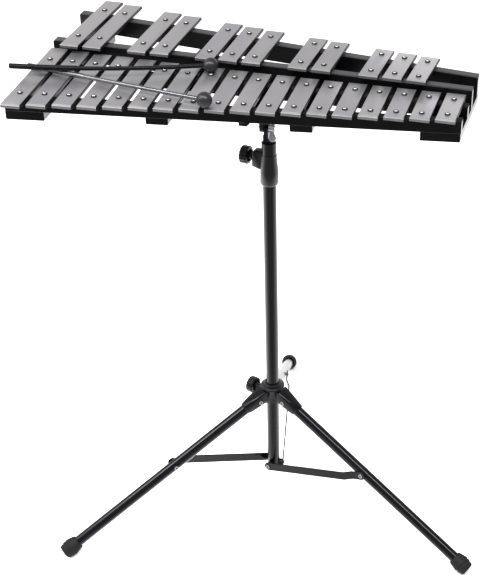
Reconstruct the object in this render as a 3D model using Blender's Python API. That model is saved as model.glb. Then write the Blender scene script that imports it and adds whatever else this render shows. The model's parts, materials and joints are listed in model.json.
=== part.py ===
"""Stand-mounted metallophone: thirty aluminium bars on a wooden frame, a tilter, a
telescopic post, a folding tripod and two mallets. Metres, +Z up, bars low to high along +X.

The model is laid out from the post's axis on the floor. At the end everything is shifted
together so that the origin is at the bottom centre of the whole thing.
"""

import math

import bmesh
import bpy
from mathutils import Matrix, Vector

# Clearances
SEAT = 0.0003            # between a piece and what it rests on
SIDE_PLAY = 0.0004       # between cheeks or strips that swing past each other
SLIDE_PLAY = 0.0003      # radial, between a tube and what slides on it

# Note bars
BAR_PITCH = 0.0312
BAR_WIDTH = 0.0252
BAR_THICKNESS = 0.0048
BAR_EDGE_CHAMFER = 0.0006
BAR_END_CHAMFER = 0.0032
BAR_CHAMFER_DROP = 0.0012
BAR_HOLE_RADIUS = 0.0026
BAR_HOLE_SIDES = 8
NATURAL_LOW_LENGTH = 0.1856
ACCIDENTAL_LOW_LENGTH = 0.1720
LENGTH_PER_SEMITONE = 0.9724
BAR_SET_BACK = 0.0017    # of a bar's middle behind the middle of its two screws
NATURAL_NAMES = "G A B C D E F G A B C D E F G A B C".split()
SEMITONES_ABOVE_C = {"C": 0, "D": 2, "E": 4, "F": 5, "G": 7, "A": 9, "B": 11}
HAS_SHARP = "CDFGA"
LOWEST_OCTAVE = 5

# Wooden frame: each rail carries one straight row of screws, y = middle + slope * x. The rows
# are stretched and shifted a little, so that each bar lies slightly turned on its two screws.
RAIL_WIDTH = 0.0110
RAIL_LEFT_MARGIN = 0.0198   # past the outer natural bars' middle lines, on the frame's own axis
RAIL_RIGHT_MARGIN = 0.0203
LEFT_END_LEAN = -0.008     # the rails end on a line that leans by this much per metre of depth
RIGHT_END_LEAN = 0.032
NATURAL_RAIL_HEIGHT = 0.0150
RAISED_RAIL_HEIGHT = 0.0258
UNDERCUT_RAIL = "rail_rear"
UNDERCUT_DEPTH = 0.0032
FELT_WIDTH = 0.0106
FELT_THICKNESS = 0.0025
RAIL_CORNER = 0.0030
BUSHING_RADIUS = 0.0046   # under each bar on the raised rails, around the screw
BUSHING_HEIGHT = 0.0018
RAILS = {
    "rail_front": {
        "middle": -0.0966, "slope": 0.1270, "raised": False, "stretch": 0.998, "shift": 0.0006},
    "rail_middle_front": {
        "middle": -0.0196, "slope": 0.0070, "raised": False, "stretch": 1.008, "shift": -0.0010},
    "rail_middle_rear": {
        "middle": 0.0232, "slope": -0.0470, "raised": True, "stretch": 0.994, "shift": -0.0016},
    "rail_rear": {
        "middle": 0.0938, "slope": -0.1471, "raised": True, "stretch": 0.997, "shift": 0.0010},
}
CROSSBAR_ROUNDING = 0.0010
OUTER_CROSSBAR_WIDTH = 0.0493
OUTER_CROSSBAR_HEIGHT = 0.0114
MIDDLE_CROSSBAR_WIDTH = 0.0283
MIDDLE_CROSSBAR_HEIGHT = 0.0086
MIDDLE_CROSSBARS = {"crossbar_middle_left": -0.0917, "crossbar_middle_right": 0.0881}

# Bar screws with the washer under each head
SCREW_RADIUS = 0.0016
SCREW_DEPTH = 0.0040
WASHER_RADIUS = 0.0036
WASHER_THICKNESS = 0.0008
SCREW_HEAD_RADIUS = 0.0027
SCREW_HEAD_HEIGHT = 0.0019
SCREW_SIDES = 6

# Heights on the post, which follow the clamp
CLAMP_TOP = 0.5684
OUTER_TUBE_TOP = CLAMP_TOP - 0.0110
CAP_BOTTOM = CLAMP_TOP + SEAT
CAP_TOP = CAP_BOTTOM + 0.0190
PIVOT_HEIGHT = CAP_TOP + 0.0172

# Where the frame stands on the tilter, from the post's axis to the frame's middle
FRAME_SHIFT_X = -0.0326
FRAME_SHIFT_Y = 0.0395
RAIL_BOTTOM_ABOVE_PIVOT = 0.0333

# Tilter
BRACKET_LEFT = -0.0221
BRACKET_WIDTH = 0.0136
BRACKET_HEIGHT = 0.0046
BRACKET_BEVEL = 0.0034
EAR_RADIUS = 0.0060
EAR_LEFT = -0.0110
LAP_X = -0.0052
TONGUE_RIGHT = 0.0006
NECK_LEFT = -0.0064
NECK_DEPTH = 0.0110
LAP_FLOOR = 0.0085
BOLT_RADIUS = 0.0025
BOLT_HEAD_RADIUS = 0.0048
BOLT_HEAD_HEIGHT = 0.0020
BOLT_END_PAST_NUT = 0.0010
WING_HUB_RADIUS = 0.0046
WING_HUB_LENGTH = 0.0064
WING_SPAN = 0.0170
WING_FLARE = 0.0002
WING_LOBE_WIDTH = 0.0094
WING_TURN = -30.0
WING_THICKNESS = 0.0030
WING_FLANGE_RADIUS = 0.0056
WING_FLANGE_THICKNESS = 0.0008

# Post head: the cap on the inner tube that carries the tilter
CAP_RADIUS = 0.0099
CAP_SHOULDER = 0.0040
CAP_SHOULDER_DROP = 0.0024
CAP_SOCKET_DEPTH = 0.0160

# Tubes
OUTER_TUBE_RADIUS = 0.00905
TUBE_WALL = 0.0012
OUTER_TUBE_BOTTOM = 0.0575
INNER_TUBE_RADIUS = 0.00745
INNER_TUBE_BOTTOM = 0.2500
TUBE_SIDES = 24

# Clamp at the top of the outer tube
CLAMP_AZIMUTH = 170.0
CLAMP_HEIGHT = 0.0434
CLAMP_RADIUS_TOP = 0.0104
CLAMP_RADIUS = 0.0124
CLAMP_LIP_DROP = 0.0060
CLAMP_FOOT_CHAMFER = 0.0030
CLAMP_BOSS_REACH = 0.0230
CLAMP_BOSS_WIDTH = 0.0125
CLAMP_BOSS_CHAMFER = 0.0036
CLAMP_BOSS_RISE = 0.0036
CLAMP_BOSS_HEIGHT = 0.0234
CLAMP_BOSS_SLANT = 0.0028
CLAMP_SCREW_DROP = 0.0075

# Both clamping knobs
KNOB_RADIUS = 0.0120
KNOB_THICKNESS = 0.0110
KNOB_FLUTES = 12
KNOB_FLUTE_DEPTH = 0.0011
KNOB_NECK_RADIUS = 0.0050
KNOB_SCREW_RADIUS = 0.0024
KNOB_GAP = 0.0052
KNOB_ROUNDING = 0.0014
KNOB_RECESS_RADIUS = 0.0088
KNOB_RECESS_DEPTH = 0.0040

# Hub that slides on the outer tube
HUB_PIN_HEIGHT = 0.1803
HUB_PIN_REACH = 0.0238
HUB_SLEEVE_RADIUS = 0.0112
HUB_SLEEVE_BELOW_PIN = 0.0088
HUB_FLANGE_RADIUS = 0.0172
HUB_FLANGE_TOP = 0.2004
HUB_FLANGE_THICKNESS = 0.0040
HUB_GROOVE_DEPTH = 0.0014
HUB_CONE_HEIGHT = 0.0035
HUB_COLLAR_RADIUS = 0.0128
HUB_TOP = 0.2039
HUB_LUG_WIDTH = 0.0080
HUB_LUG_END = 0.0058
HUB_BOSS_RADIUS = 0.0060
HUB_BOSS_REACH = 0.0243
HUB_SCREW_ABOVE_PIN = 0.0049

# Legs, at equal angles around the post
LEG_AZIMUTHS = {"right": -19.8, "left": -139.8, "rear": 100.2}
LEG_RADIUS = 0.0078
LEG_SIDES = 16
FOOT_SPREAD = 0.3345
FOOT_AXIS_HEIGHT = 0.0076

# Socket at the top of each leg: a sleeve that turns into a fork with a closed back. Its
# sections run from its outer end to the hub: half width, top and bottom from the leg's axis.
SOCKET_NOSE = 0.0170
SOCKET_INNER_END = 0.0146
SOCKET_SECTIONS = (
    {"along": 0.0230, "half": 0.0086, "top": 0.0086, "bottom": 0.0079, "rounding": 0.0078},
    {"along": 0.0212, "half": 0.0097, "top": 0.0097, "bottom": 0.0087, "rounding": 0.0084},
    {"along": 0.0050, "half": 0.0100, "top": 0.0100, "bottom": 0.0080, "rounding": 0.0045},
    {"along": -0.0170, "half": 0.0107, "top": 0.0107, "bottom": 0.0069, "rounding": 0.0015},
)
SOCKET_BACK = 0.0068
SOCKET_END_LEAN = 0.14
SLOT_LENGTH = 0.0092
RIVET_RADIUS = 0.0022
RIVET_HEAD_RADIUS = 0.0030
RIVET_HEAD_HEIGHT = 0.0009

# Rubber feet: radius at a distance from the mouth
FOOT_LENGTH = 0.0257
FOOT_SOLE = 0.0060
FOOT_SIDES = 16
FOOT_PROFILE = (
    (0.0000, 0.0090), (0.0012, 0.0099), (0.0120, 0.0125), (0.0146, 0.0125), (0.0156, 0.0117),
    (0.0174, 0.0121), (0.0194, 0.0117), (0.0206, 0.0108), (0.0222, 0.0109), (0.0248, 0.0099),
    (0.0257, 0.0092),
)

# Brace collar in the lower end of the outer tube, and the three braces
BRACE_PIVOT_HEIGHT = 0.0555
BRACE_SHARE_OF_LEG = 0.4335
BRACE_WIDTH = 0.0130
BRACE_THICKNESS = 0.0018
BRACE_STRIP_OFFSET = 0.0128
BRACE_JOGGLE_START = 0.0270
BRACE_JOGGLE_LENGTH = 0.0120
COLLAR_RADIUS = 0.0088
COLLAR_BOTTOM = 0.0490
COLLAR_PLUG_LENGTH = 0.0150
COLLAR_BOSS_RADIUS = 0.0054

# Mallets, as they lie on the bars
MALLET_SIDES = 12
MALLET_BALL_STEPS = 7
MALLET_HEAD_RADIUS = 0.0099
MALLET_SHAFT_RADIUS = 0.0027
MALLET_GRIP_RADIUS = 0.0035
MALLET_GRIP_LENGTH = 0.0900
MALLET_GRIP_TAPER = 0.0060
MALLETS = {
    "mallet_lower": {"length": 0.2640, "heading": -13.1, "head_x": -0.0275, "head_y": -0.1154,
                     "butt_rise": 0.0000, "bow": 0.0011},
    "mallet_upper": {"length": 0.2570, "heading": 16.5, "head_x": -0.0508, "head_y": -0.0119,
                     "butt_rise": 0.0101, "bow": 0.0097},
}


# Materials

def material(name, colour, roughness, metallic):
    result = bpy.data.materials.get(name)
    if result is None:
        result = bpy.data.materials.new(name)
        result.use_nodes = True
        shader = result.node_tree.nodes["Principled BSDF"]
        shader.inputs["Base Color"].default_value = (*colour, 1.0)
        shader.inputs["Roughness"].default_value = roughness
        shader.inputs["Metallic"].default_value = metallic
    return result


def bar_aluminium():
    return material("bar_aluminium", (0.55, 0.55, 0.57), 0.38, 1.0)


def black_wood():
    return material("black_painted_wood", (0.012, 0.012, 0.013), 0.35, 0.0)


def black_steel():
    return material("black_painted_steel", (0.020, 0.020, 0.022), 0.35, 0.3)


def black_plastic():
    return material("black_plastic", (0.025, 0.025, 0.027), 0.50, 0.0)


def black_rubber():
    return material("black_rubber", (0.018, 0.018, 0.018), 0.80, 0.0)


def bare_steel():
    return material("bare_steel", (0.50, 0.50, 0.50), 0.35, 1.0)


# Building blocks

def clear_scene():
    for item in list(bpy.data.objects):
        bpy.data.objects.remove(item, do_unlink=True)


def empty(name, parent=None, location=(0.0, 0.0, 0.0), turn_z=0.0):
    result = bpy.data.objects.new(name, None)
    result.empty_display_size = 0.02
    result.parent = parent
    result.location = location
    result.rotation_euler = (0.0, 0.0, turn_z)
    bpy.context.collection.objects.link(result)
    return result


def finish(name, bm, surface, parent, location=(0.0, 0.0, 0.0), rotation=(0.0, 0.0, 0.0)):
    bmesh.ops.recalc_face_normals(bm, faces=bm.faces)
    mesh = bpy.data.meshes.new(name)
    bm.to_mesh(mesh)
    bm.free()
    if surface is not None:
        mesh.materials.append(surface)
    result = bpy.data.objects.new(name, mesh)
    result.parent = parent
    result.location = location
    result.rotation_euler = rotation
    bpy.context.collection.objects.link(result)
    return result


def smooth(item, angle=40.0):
    item.data.shade_smooth()
    item.data.set_sharp_from_angle(angle=math.radians(angle))
    return item


def guide(item):
    item.hide_render = True
    item.display_type = "WIRE"
    return item


def combine(item, other, operation):
    guide(other)
    step = item.modifiers.new(operation.lower() + "_" + other.name, "BOOLEAN")
    step.operation = operation
    step.solver = "EXACT"
    step.object = other
    return item


def add_prism(bm, outline, low, high, axis="Z"):
    """Extrude a closed outline of (a, b) points along an axis, from low to high."""
    place = {
        "X": lambda a, b, c: (c, a, b),
        "Y": lambda a, b, c: (a, c, b),
        "Z": lambda a, b, c: (a, b, c),
    }[axis]
    bottom = [bm.verts.new(place(a, b, low)) for a, b in outline]
    top = [bm.verts.new(place(a, b, high)) for a, b in outline]
    bm.faces.new(bottom)
    bm.faces.new(top)
    for i in range(len(outline)):
        j = (i + 1) % len(outline)
        bm.faces.new((bottom[i], bottom[j], top[j], top[i]))


def add_turned(bm, profile, sides, centre=(0.0, 0.0), closed=False):
    """Turn a profile of (radius, z) points around a vertical axis. A radius of 0 is a pole."""
    rings = []
    for radius, z in profile:
        if radius == 0.0:
            rings.append([bm.verts.new((centre[0], centre[1], z))])
            continue
        ring = []
        for i in range(sides):
            angle = 2.0 * math.pi * i / sides
            ring.append(bm.verts.new((
                centre[0] + radius * math.cos(angle),
                centre[1] + radius * math.sin(angle), z)))
        rings.append(ring)
    pairs = list(zip(rings, rings[1:]))
    if closed:
        pairs.append((rings[-1], rings[0]))
    for first, second in pairs:
        for i in range(sides):
            j = (i + 1) % sides
            if len(first) == 1:
                bm.faces.new((first[0], second[i], second[j]))
            elif len(second) == 1:
                bm.faces.new((first[i], second[0], first[j]))
            else:
                bm.faces.new((first[i], first[j], second[j], second[i]))
    if not closed and len(rings[0]) > 1:
        bm.faces.new(rings[0])
    if not closed and len(rings[-1]) > 1:
        bm.faces.new(rings[-1])


def prism(name, outline, low, high, axis, surface, parent, **placing):
    bm = bmesh.new()
    add_prism(bm, outline, low, high, axis)
    return finish(name, bm, surface, parent, **placing)


def turned(name, profile, sides, surface, parent, closed=False, **placing):
    bm = bmesh.new()
    add_turned(bm, profile, sides, closed=closed)
    return smooth(finish(name, bm, surface, parent, **placing))


def hollow_profile(outer, inner, low, high):
    return [(outer, low), (outer, high), (inner, high), (inner, low)]


def rectangle(left, right, low, high):
    return [(left, low), (right, low), (right, high), (left, high)]


def arc(centre_a, centre_b, radius, start, stop, steps):
    """Points on an arc, angles in degrees."""
    points = []
    for i in range(steps + 1):
        angle = math.radians(start + (stop - start) * i / steps)
        points.append((centre_a + radius * math.cos(angle), centre_b + radius * math.sin(angle)))
    return points


LYING_ALONG_X = (0.0, math.pi / 2.0, 0.0)
LYING_ALONG_Y = (-math.pi / 2.0, 0.0, 0.0)


# Heights and lines that several pieces share, above the tilt pivot

def rail_bottom():
    return RAIL_BOTTOM_ABOVE_PIVOT


def rail_top(raised):
    return rail_bottom() + (RAISED_RAIL_HEIGHT if raised else NATURAL_RAIL_HEIGHT)


def bar_bottom(raised):
    under = FELT_THICKNESS + (BUSHING_HEIGHT if raised else 0.0)
    return rail_top(raised) + under + SEAT


def bar_top(raised):
    return bar_bottom(raised) + BAR_THICKNESS


def line_y(rail, x):
    return RAILS[rail]["middle"] + RAILS[rail]["slope"] * x


def note_bars():
    """Name, place along the frame, semitones above the lowest note and row of every bar."""
    bars = []
    octave = LOWEST_OCTAVE
    lowest = SEMITONES_ABOVE_C[NATURAL_NAMES[0]] + 12 * octave
    middle = (len(NATURAL_NAMES) - 1) / 2.0
    for i, letter in enumerate(NATURAL_NAMES):
        if letter == "C":
            octave += 1
        semitone = SEMITONES_ABOVE_C[letter] + 12 * octave - lowest
        x = (i - middle) * BAR_PITCH
        bars.append(("bar_%s%d" % (letter, octave), x, semitone, False))
        if letter in HAS_SHARP and i < len(NATURAL_NAMES) - 1:
            sharp_name = "bar_%s_sharp%d" % (letter, octave)
            bars.append((sharp_name, x + BAR_PITCH / 2.0, semitone + 1, True))
    return bars


def frame_end(side, y):
    """Where the frame ends along X at a depth y, on its left or right side."""
    reach = (len(NATURAL_NAMES) - 1) / 2.0 * BAR_PITCH
    if side == "left":
        return -reach - RAIL_LEFT_MARGIN + LEFT_END_LEAN * y
    return reach + RAIL_RIGHT_MARGIN + RIGHT_END_LEAN * y


def rail_ends(rail):
    """Left and right ends of a rail along X."""
    ends = []
    for side in ("left", "right"):
        x = frame_end(side, 0.0)
        ends.append(frame_end(side, line_y(rail, x)))
    return ends


def rails_of(raised):
    return [name for name, rail in RAILS.items() if rail["raised"] == raised]


# Note bars

def screw_place(rail, x):
    """The screw of this rail for the bar at x."""
    along = x * RAILS[rail]["stretch"] + RAILS[rail]["shift"]
    return along, line_y(rail, along)


def screw_places(rail):
    raised = RAILS[rail]["raised"]
    return [screw_place(rail, x) for _, x, _, up in note_bars() if up == raised]


def drill_row(rail, frame):
    """One row of drills, through every bar that this rail carries."""
    raised = RAILS[rail]["raised"]
    bm = bmesh.new()
    low = bar_bottom(raised) - BAR_THICKNESS
    high = bar_top(raised) + BAR_THICKNESS
    for place in screw_places(rail):
        add_turned(bm, [(BAR_HOLE_RADIUS, low), (BAR_HOLE_RADIUS, high)],
                   BAR_HOLE_SIDES, place)
    return guide(finish("drill_" + rail, bm, None, frame))


def note_bar(name, x, semitone, raised, drills, frame):
    front, rear = rails_of(raised)
    low_length = ACCIDENTAL_LOW_LENGTH if raised else NATURAL_LOW_LENGTH
    length = low_length * LENGTH_PER_SEMITONE ** semitone
    front_x, front_y = screw_place(front, x)
    rear_x, rear_y = screw_place(rear, x)
    turn = math.atan2(front_x - rear_x, rear_y - front_y)
    middle = ((front_x + rear_x) / 2.0 - BAR_SET_BACK * math.sin(turn),
              (front_y + rear_y) / 2.0 + BAR_SET_BACK * math.cos(turn), bar_bottom(raised))
    rim = BAR_THICKNESS - BAR_CHAMFER_DROP
    bm = bmesh.new()
    layers = (
        (0.0, BAR_WIDTH / 2.0, length / 2.0),
        (rim, BAR_WIDTH / 2.0, length / 2.0),
        (BAR_THICKNESS, BAR_WIDTH / 2.0 - BAR_EDGE_CHAMFER, length / 2.0 - BAR_END_CHAMFER),
    )
    rings = []
    for z, half_width, half_length in layers:
        corners = rectangle(-half_width, half_width, -half_length, half_length)
        rings.append([bm.verts.new((a, b, z)) for a, b in corners])
    bm.faces.new(rings[0])
    bm.faces.new(rings[-1])
    for lower, upper in zip(rings, rings[1:]):
        for i in range(4):
            j = (i + 1) % 4
            bm.faces.new((lower[i], lower[j], upper[j], upper[i]))
    bar = finish(name, bm, bar_aluminium(), frame, location=middle, rotation=(0.0, 0.0, turn))
    combine(bar, drills[front], "DIFFERENCE")
    combine(bar, drills[rear], "DIFFERENCE")
    return bar


# Wooden frame

def screw_profile(raised):
    """One bar screw with its bushing and washer, from the rail up to the top of its head."""
    under_washer = bar_top(raised) + SEAT
    over_washer = under_washer + WASHER_THICKNESS
    foot = [(SCREW_RADIUS, rail_top(raised) - SCREW_DEPTH)]
    if raised:
        under_bar = bar_bottom(raised) - SEAT
        foot = [(BUSHING_RADIUS, rail_top(raised)), (BUSHING_RADIUS, under_bar),
                (SCREW_RADIUS, under_bar)]
    return foot + [
        (SCREW_RADIUS, under_washer),
        (WASHER_RADIUS, under_washer),
        (WASHER_RADIUS, over_washer),
        (SCREW_HEAD_RADIUS, over_washer + SCREW_HEAD_HEIGHT / 2.0),
        (0.0, over_washer + SCREW_HEAD_HEIGHT),
    ]


def rail_profile(raised):
    """Cross-section of a rail with the felt strip that lies on it."""
    half = RAIL_WIDTH / 2.0
    felt = FELT_WIDTH / 2.0
    top = rail_top(raised)
    return [
        (-half, rail_bottom()), (half, rail_bottom()), (half, top), (felt, top),
        (felt, top + FELT_THICKNESS), (-felt, top + FELT_THICKNESS), (-felt, top), (-half, top),
    ]


def along_rail(rail, name, outline, low, high, surface, frame):
    """Prism along X that follows the line of a rail, with its ends square to the frame."""
    bm = bmesh.new()
    add_prism(bm, outline, low, high, "X")
    for vertex in bm.verts:
        vertex.co.y += line_y(rail, vertex.co.x)
    return finish(name, bm, surface, frame)


def corner_cutter(rail, frame):
    """Takes the upper left corner off a rail."""
    left = rail_ends(rail)[0]
    top = rail_top(RAILS[rail]["raised"]) + FELT_THICKNESS
    outline = [
        (left - RAIL_CORNER, top - RAIL_CORNER), (left, top - RAIL_CORNER),
        (left + RAIL_CORNER, top), (left + RAIL_CORNER, top + RAIL_CORNER),
        (left - RAIL_CORNER, top + RAIL_CORNER),
    ]
    middle = line_y(rail, left)
    return prism("corner_cutter_" + rail, outline, middle - 0.02, middle + 0.02, "Y", None, frame)


def undercut(frame):
    """Lifts the underside of one rail between the outer crossbars."""
    left, right = rail_ends(UNDERCUT_RAIL)
    low = left + OUTER_CROSSBAR_WIDTH
    high = right - OUTER_CROSSBAR_WIDTH
    outline = rectangle(-RAIL_WIDTH, RAIL_WIDTH, rail_bottom() - 0.01,
                        rail_bottom() + UNDERCUT_DEPTH)
    return along_rail(UNDERCUT_RAIL, "rail_undercut", outline, low, high, None, frame)


def rail(name, frame):
    raised = RAILS[name]["raised"]
    board = along_rail(name, name, rail_profile(raised), *rail_ends(name), black_wood(), frame)
    combine(board, corner_cutter(name, frame), "DIFFERENCE")
    if name == UNDERCUT_RAIL:
        combine(board, undercut(frame), "DIFFERENCE")
    bm = bmesh.new()
    for place in screw_places(name):
        add_turned(bm, screw_profile(raised), SCREW_SIDES, place)
    combine(board, finish("screws_" + name, bm, bare_steel(), frame), "UNION")
    return board


def crossbar(name, sides, height, frame):
    """Board under the rails, flush with the outer ones, its long lower edges cut off. Sides gives
    the left and right side along X at a depth y."""
    top = rail_bottom() - SEAT
    bottom = top - height
    bm = bmesh.new()
    rings = []
    for edge, offset in (("rail_front", -RAIL_WIDTH / 2.0), ("rail_rear", RAIL_WIDTH / 2.0)):
        left, right = sides(line_y(edge, sides(0.0)[0]) + offset)
        outline = [
            (left, bottom + CROSSBAR_ROUNDING), (left + CROSSBAR_ROUNDING, bottom),
            (right - CROSSBAR_ROUNDING, bottom), (right, bottom + CROSSBAR_ROUNDING),
            (right, top), (left, top),
        ]
        rings.append([bm.verts.new((x, line_y(edge, x) + offset, z)) for x, z in outline])
        bm.faces.new(rings[-1])
    front, rear = rings
    for i in range(len(front)):
        j = (i + 1) % len(front)
        bm.faces.new((front[i], front[j], rear[j], rear[i]))
    return finish(name, bm, black_wood(), frame)


def left_crossbar_sides(y):
    left = frame_end("left", y)
    return left, left + OUTER_CROSSBAR_WIDTH


def right_crossbar_sides(y):
    right = frame_end("right", y)
    return right - OUTER_CROSSBAR_WIDTH, right


def crossbars(frame):
    crossbar("crossbar_left", left_crossbar_sides, OUTER_CROSSBAR_HEIGHT, frame)
    crossbar("crossbar_right", right_crossbar_sides, OUTER_CROSSBAR_HEIGHT, frame)
    half = MIDDLE_CROSSBAR_WIDTH / 2.0
    for name, centre in MIDDLE_CROSSBARS.items():
        sides = (centre - half, centre + half)
        crossbar(name, lambda y, sides=sides: sides, MIDDLE_CROSSBAR_HEIGHT, frame)


# Tilter

def bracket_run():
    """Front and rear ends of the bracket's bar, across both natural rails."""
    x = -FRAME_SHIFT_X + BRACKET_LEFT + BRACKET_WIDTH / 2.0
    front = line_y("rail_front", x) - RAIL_WIDTH / 2.0
    rear = line_y("rail_middle_rear", x) + RAIL_WIDTH / 2.0
    return front + FRAME_SHIFT_Y, rear + FRAME_SHIFT_Y


def mount_bracket(tilt):
    """Bar under the rails with the round ear that hangs down to the tilt bolt."""
    top = rail_bottom() - SEAT
    bottom = top - BRACKET_HEIGHT
    left = BRACKET_LEFT
    right = left + BRACKET_WIDTH
    front, rear = bracket_run()
    outline = [
        (left, bottom), (right - BRACKET_BEVEL, bottom), (right, bottom + BRACKET_BEVEL),
        (right, top), (left, top),
    ]
    bracket = prism("mount_bracket", outline, front, rear, "Y", black_steel(), tilt)
    ear = arc(0.0, 0.0, EAR_RADIUS, 180.0, 360.0, 12)
    ear += [(EAR_RADIUS, bottom + BRACKET_HEIGHT / 2.0), (-EAR_RADIUS, bottom + BRACKET_HEIGHT / 2.0)]
    web = prism("mount_ear", ear, EAR_LEFT, LAP_X - SIDE_PLAY, "X", black_steel(), tilt)
    combine(bracket, web, "UNION")
    bore = turned("mount_ear_bore", [(BOLT_RADIUS + SLIDE_PLAY, EAR_LEFT - 0.01),
                                     (BOLT_RADIUS + SLIDE_PLAY, LAP_X + 0.01)],
                  16, None, tilt, rotation=LYING_ALONG_X)
    combine(bracket, bore, "DIFFERENCE")
    return bracket


def wing_nut_start():
    return TONGUE_RIGHT + SEAT + WING_FLANGE_THICKNESS


def tilt_bolt(tilt):
    """Bolt along X, its head on the ear and its end in the wing nut."""
    head_end = EAR_LEFT - SEAT - BOLT_HEAD_HEIGHT
    tip = wing_nut_start() + WING_HUB_LENGTH + BOLT_END_PAST_NUT
    profile = [
        (0.0, head_end), (BOLT_HEAD_RADIUS * 0.8, head_end),
        (BOLT_HEAD_RADIUS, head_end + BOLT_HEAD_HEIGHT * 0.3),
        (BOLT_HEAD_RADIUS, EAR_LEFT - SEAT), (BOLT_RADIUS, EAR_LEFT - SEAT),
        (BOLT_RADIUS, tip), (0.0, tip),
    ]
    return turned("tilt_bolt", profile, 16, bare_steel(), tilt, rotation=LYING_ALONG_X)


def wing_nut(tilt):
    """Hub with a flange against the tongue and two broad rounded wings."""
    start = wing_nut_start()
    end = start + WING_HUB_LENGTH
    face = start - WING_FLANGE_THICKNESS
    profile = [
        (WING_FLANGE_RADIUS, face), (WING_FLANGE_RADIUS, start), (WING_HUB_RADIUS, start),
        (WING_HUB_RADIUS, start + WING_HUB_LENGTH * 0.4), (WING_HUB_RADIUS * 0.8, end),
        (BOLT_RADIUS + SLIDE_PLAY, end), (BOLT_RADIUS + SLIDE_PLAY, face),
    ]
    turned_axis = empty("wing_nut_axis", tilt)
    turned_axis.rotation_euler = (math.radians(WING_TURN), 0.0, 0.0)
    nut = turned("wing_nut", profile, 16, bare_steel(), turned_axis, closed=True,
                 rotation=LYING_ALONG_X)
    bm = bmesh.new()
    root = BOLT_RADIUS + SLIDE_PLAY + 0.0008
    lobe_centre = WING_SPAN - WING_LOBE_WIDTH / 2.0
    lobe = arc(start + WING_FLARE + WING_LOBE_WIDTH / 2.0, lobe_centre,
               WING_LOBE_WIDTH / 2.0, 170.0, -10.0, 8)
    for side in (-1.0, 1.0):
        outline = [(start + 0.0010, side * root)]
        outline += [(a, side * b) for a, b in lobe]
        outline.append((end - 0.0010, side * root))
        add_prism(bm, outline, -WING_THICKNESS / 2.0, WING_THICKNESS / 2.0, "Y")
    combine(nut, finish("wing_nut_wings", bm, bare_steel(), turned_axis), "UNION")
    return nut


# Post head and tubes

def post_head(post):
    """Cap on the inner tube, with the neck and the half-lap tongue of the tilter."""
    shoulder = CAP_TOP - CAP_SHOULDER_DROP
    socket = INNER_TUBE_RADIUS + SEAT
    socket_top = CAP_BOTTOM + CAP_SOCKET_DEPTH
    profile = [
        (0.0, CAP_BOTTOM), (CAP_RADIUS, CAP_BOTTOM), (CAP_RADIUS, shoulder),
        (CAP_RADIUS - CAP_SHOULDER, CAP_TOP), (0.0, CAP_TOP),
    ]
    head = turned("post_head", profile, TUBE_SIDES, black_steel(), post)
    bore = turned("post_head_bore", [(socket, CAP_BOTTOM - 0.01), (socket, socket_top)],
                  TUBE_SIDES, None, post)
    combine(head, bore, "DIFFERENCE")
    neck_top = PIVOT_HEIGHT - LAP_FLOOR
    neck = prism("post_head_neck", rectangle(NECK_LEFT, TONGUE_RIGHT, CAP_TOP - 0.002, neck_top),
                 -NECK_DEPTH / 2.0, NECK_DEPTH / 2.0, "Y", black_steel(), post)
    combine(head, neck, "UNION")
    tongue = arc(0.0, PIVOT_HEIGHT, EAR_RADIUS, 0.0, 180.0, 12)
    tongue += [(-NECK_DEPTH / 2.0, neck_top - 0.001), (NECK_DEPTH / 2.0, neck_top - 0.001)]
    blade = prism("post_head_tongue", tongue, LAP_X, TONGUE_RIGHT, "X", black_steel(), post)
    combine(head, blade, "UNION")
    hole = turned("post_head_hole", [(BOLT_RADIUS + SLIDE_PLAY, LAP_X - 0.01),
                                     (BOLT_RADIUS + SLIDE_PLAY, TONGUE_RIGHT + 0.01)],
                  16, None, post, location=(0.0, 0.0, PIVOT_HEIGHT), rotation=LYING_ALONG_X)
    combine(head, hole, "DIFFERENCE")
    return head


def inner_tube(post):
    top = CAP_BOTTOM + CAP_SOCKET_DEPTH - SEAT
    profile = hollow_profile(INNER_TUBE_RADIUS, INNER_TUBE_RADIUS - TUBE_WALL,
                             INNER_TUBE_BOTTOM, top)
    return turned("inner_tube", profile, TUBE_SIDES, black_steel(), post, closed=True)


def outer_tube(base):
    profile = hollow_profile(OUTER_TUBE_RADIUS, OUTER_TUBE_RADIUS - TUBE_WALL,
                             OUTER_TUBE_BOTTOM, OUTER_TUBE_TOP)
    return turned("outer_tube", profile, TUBE_SIDES, black_steel(), base, closed=True)


# Clamp

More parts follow.
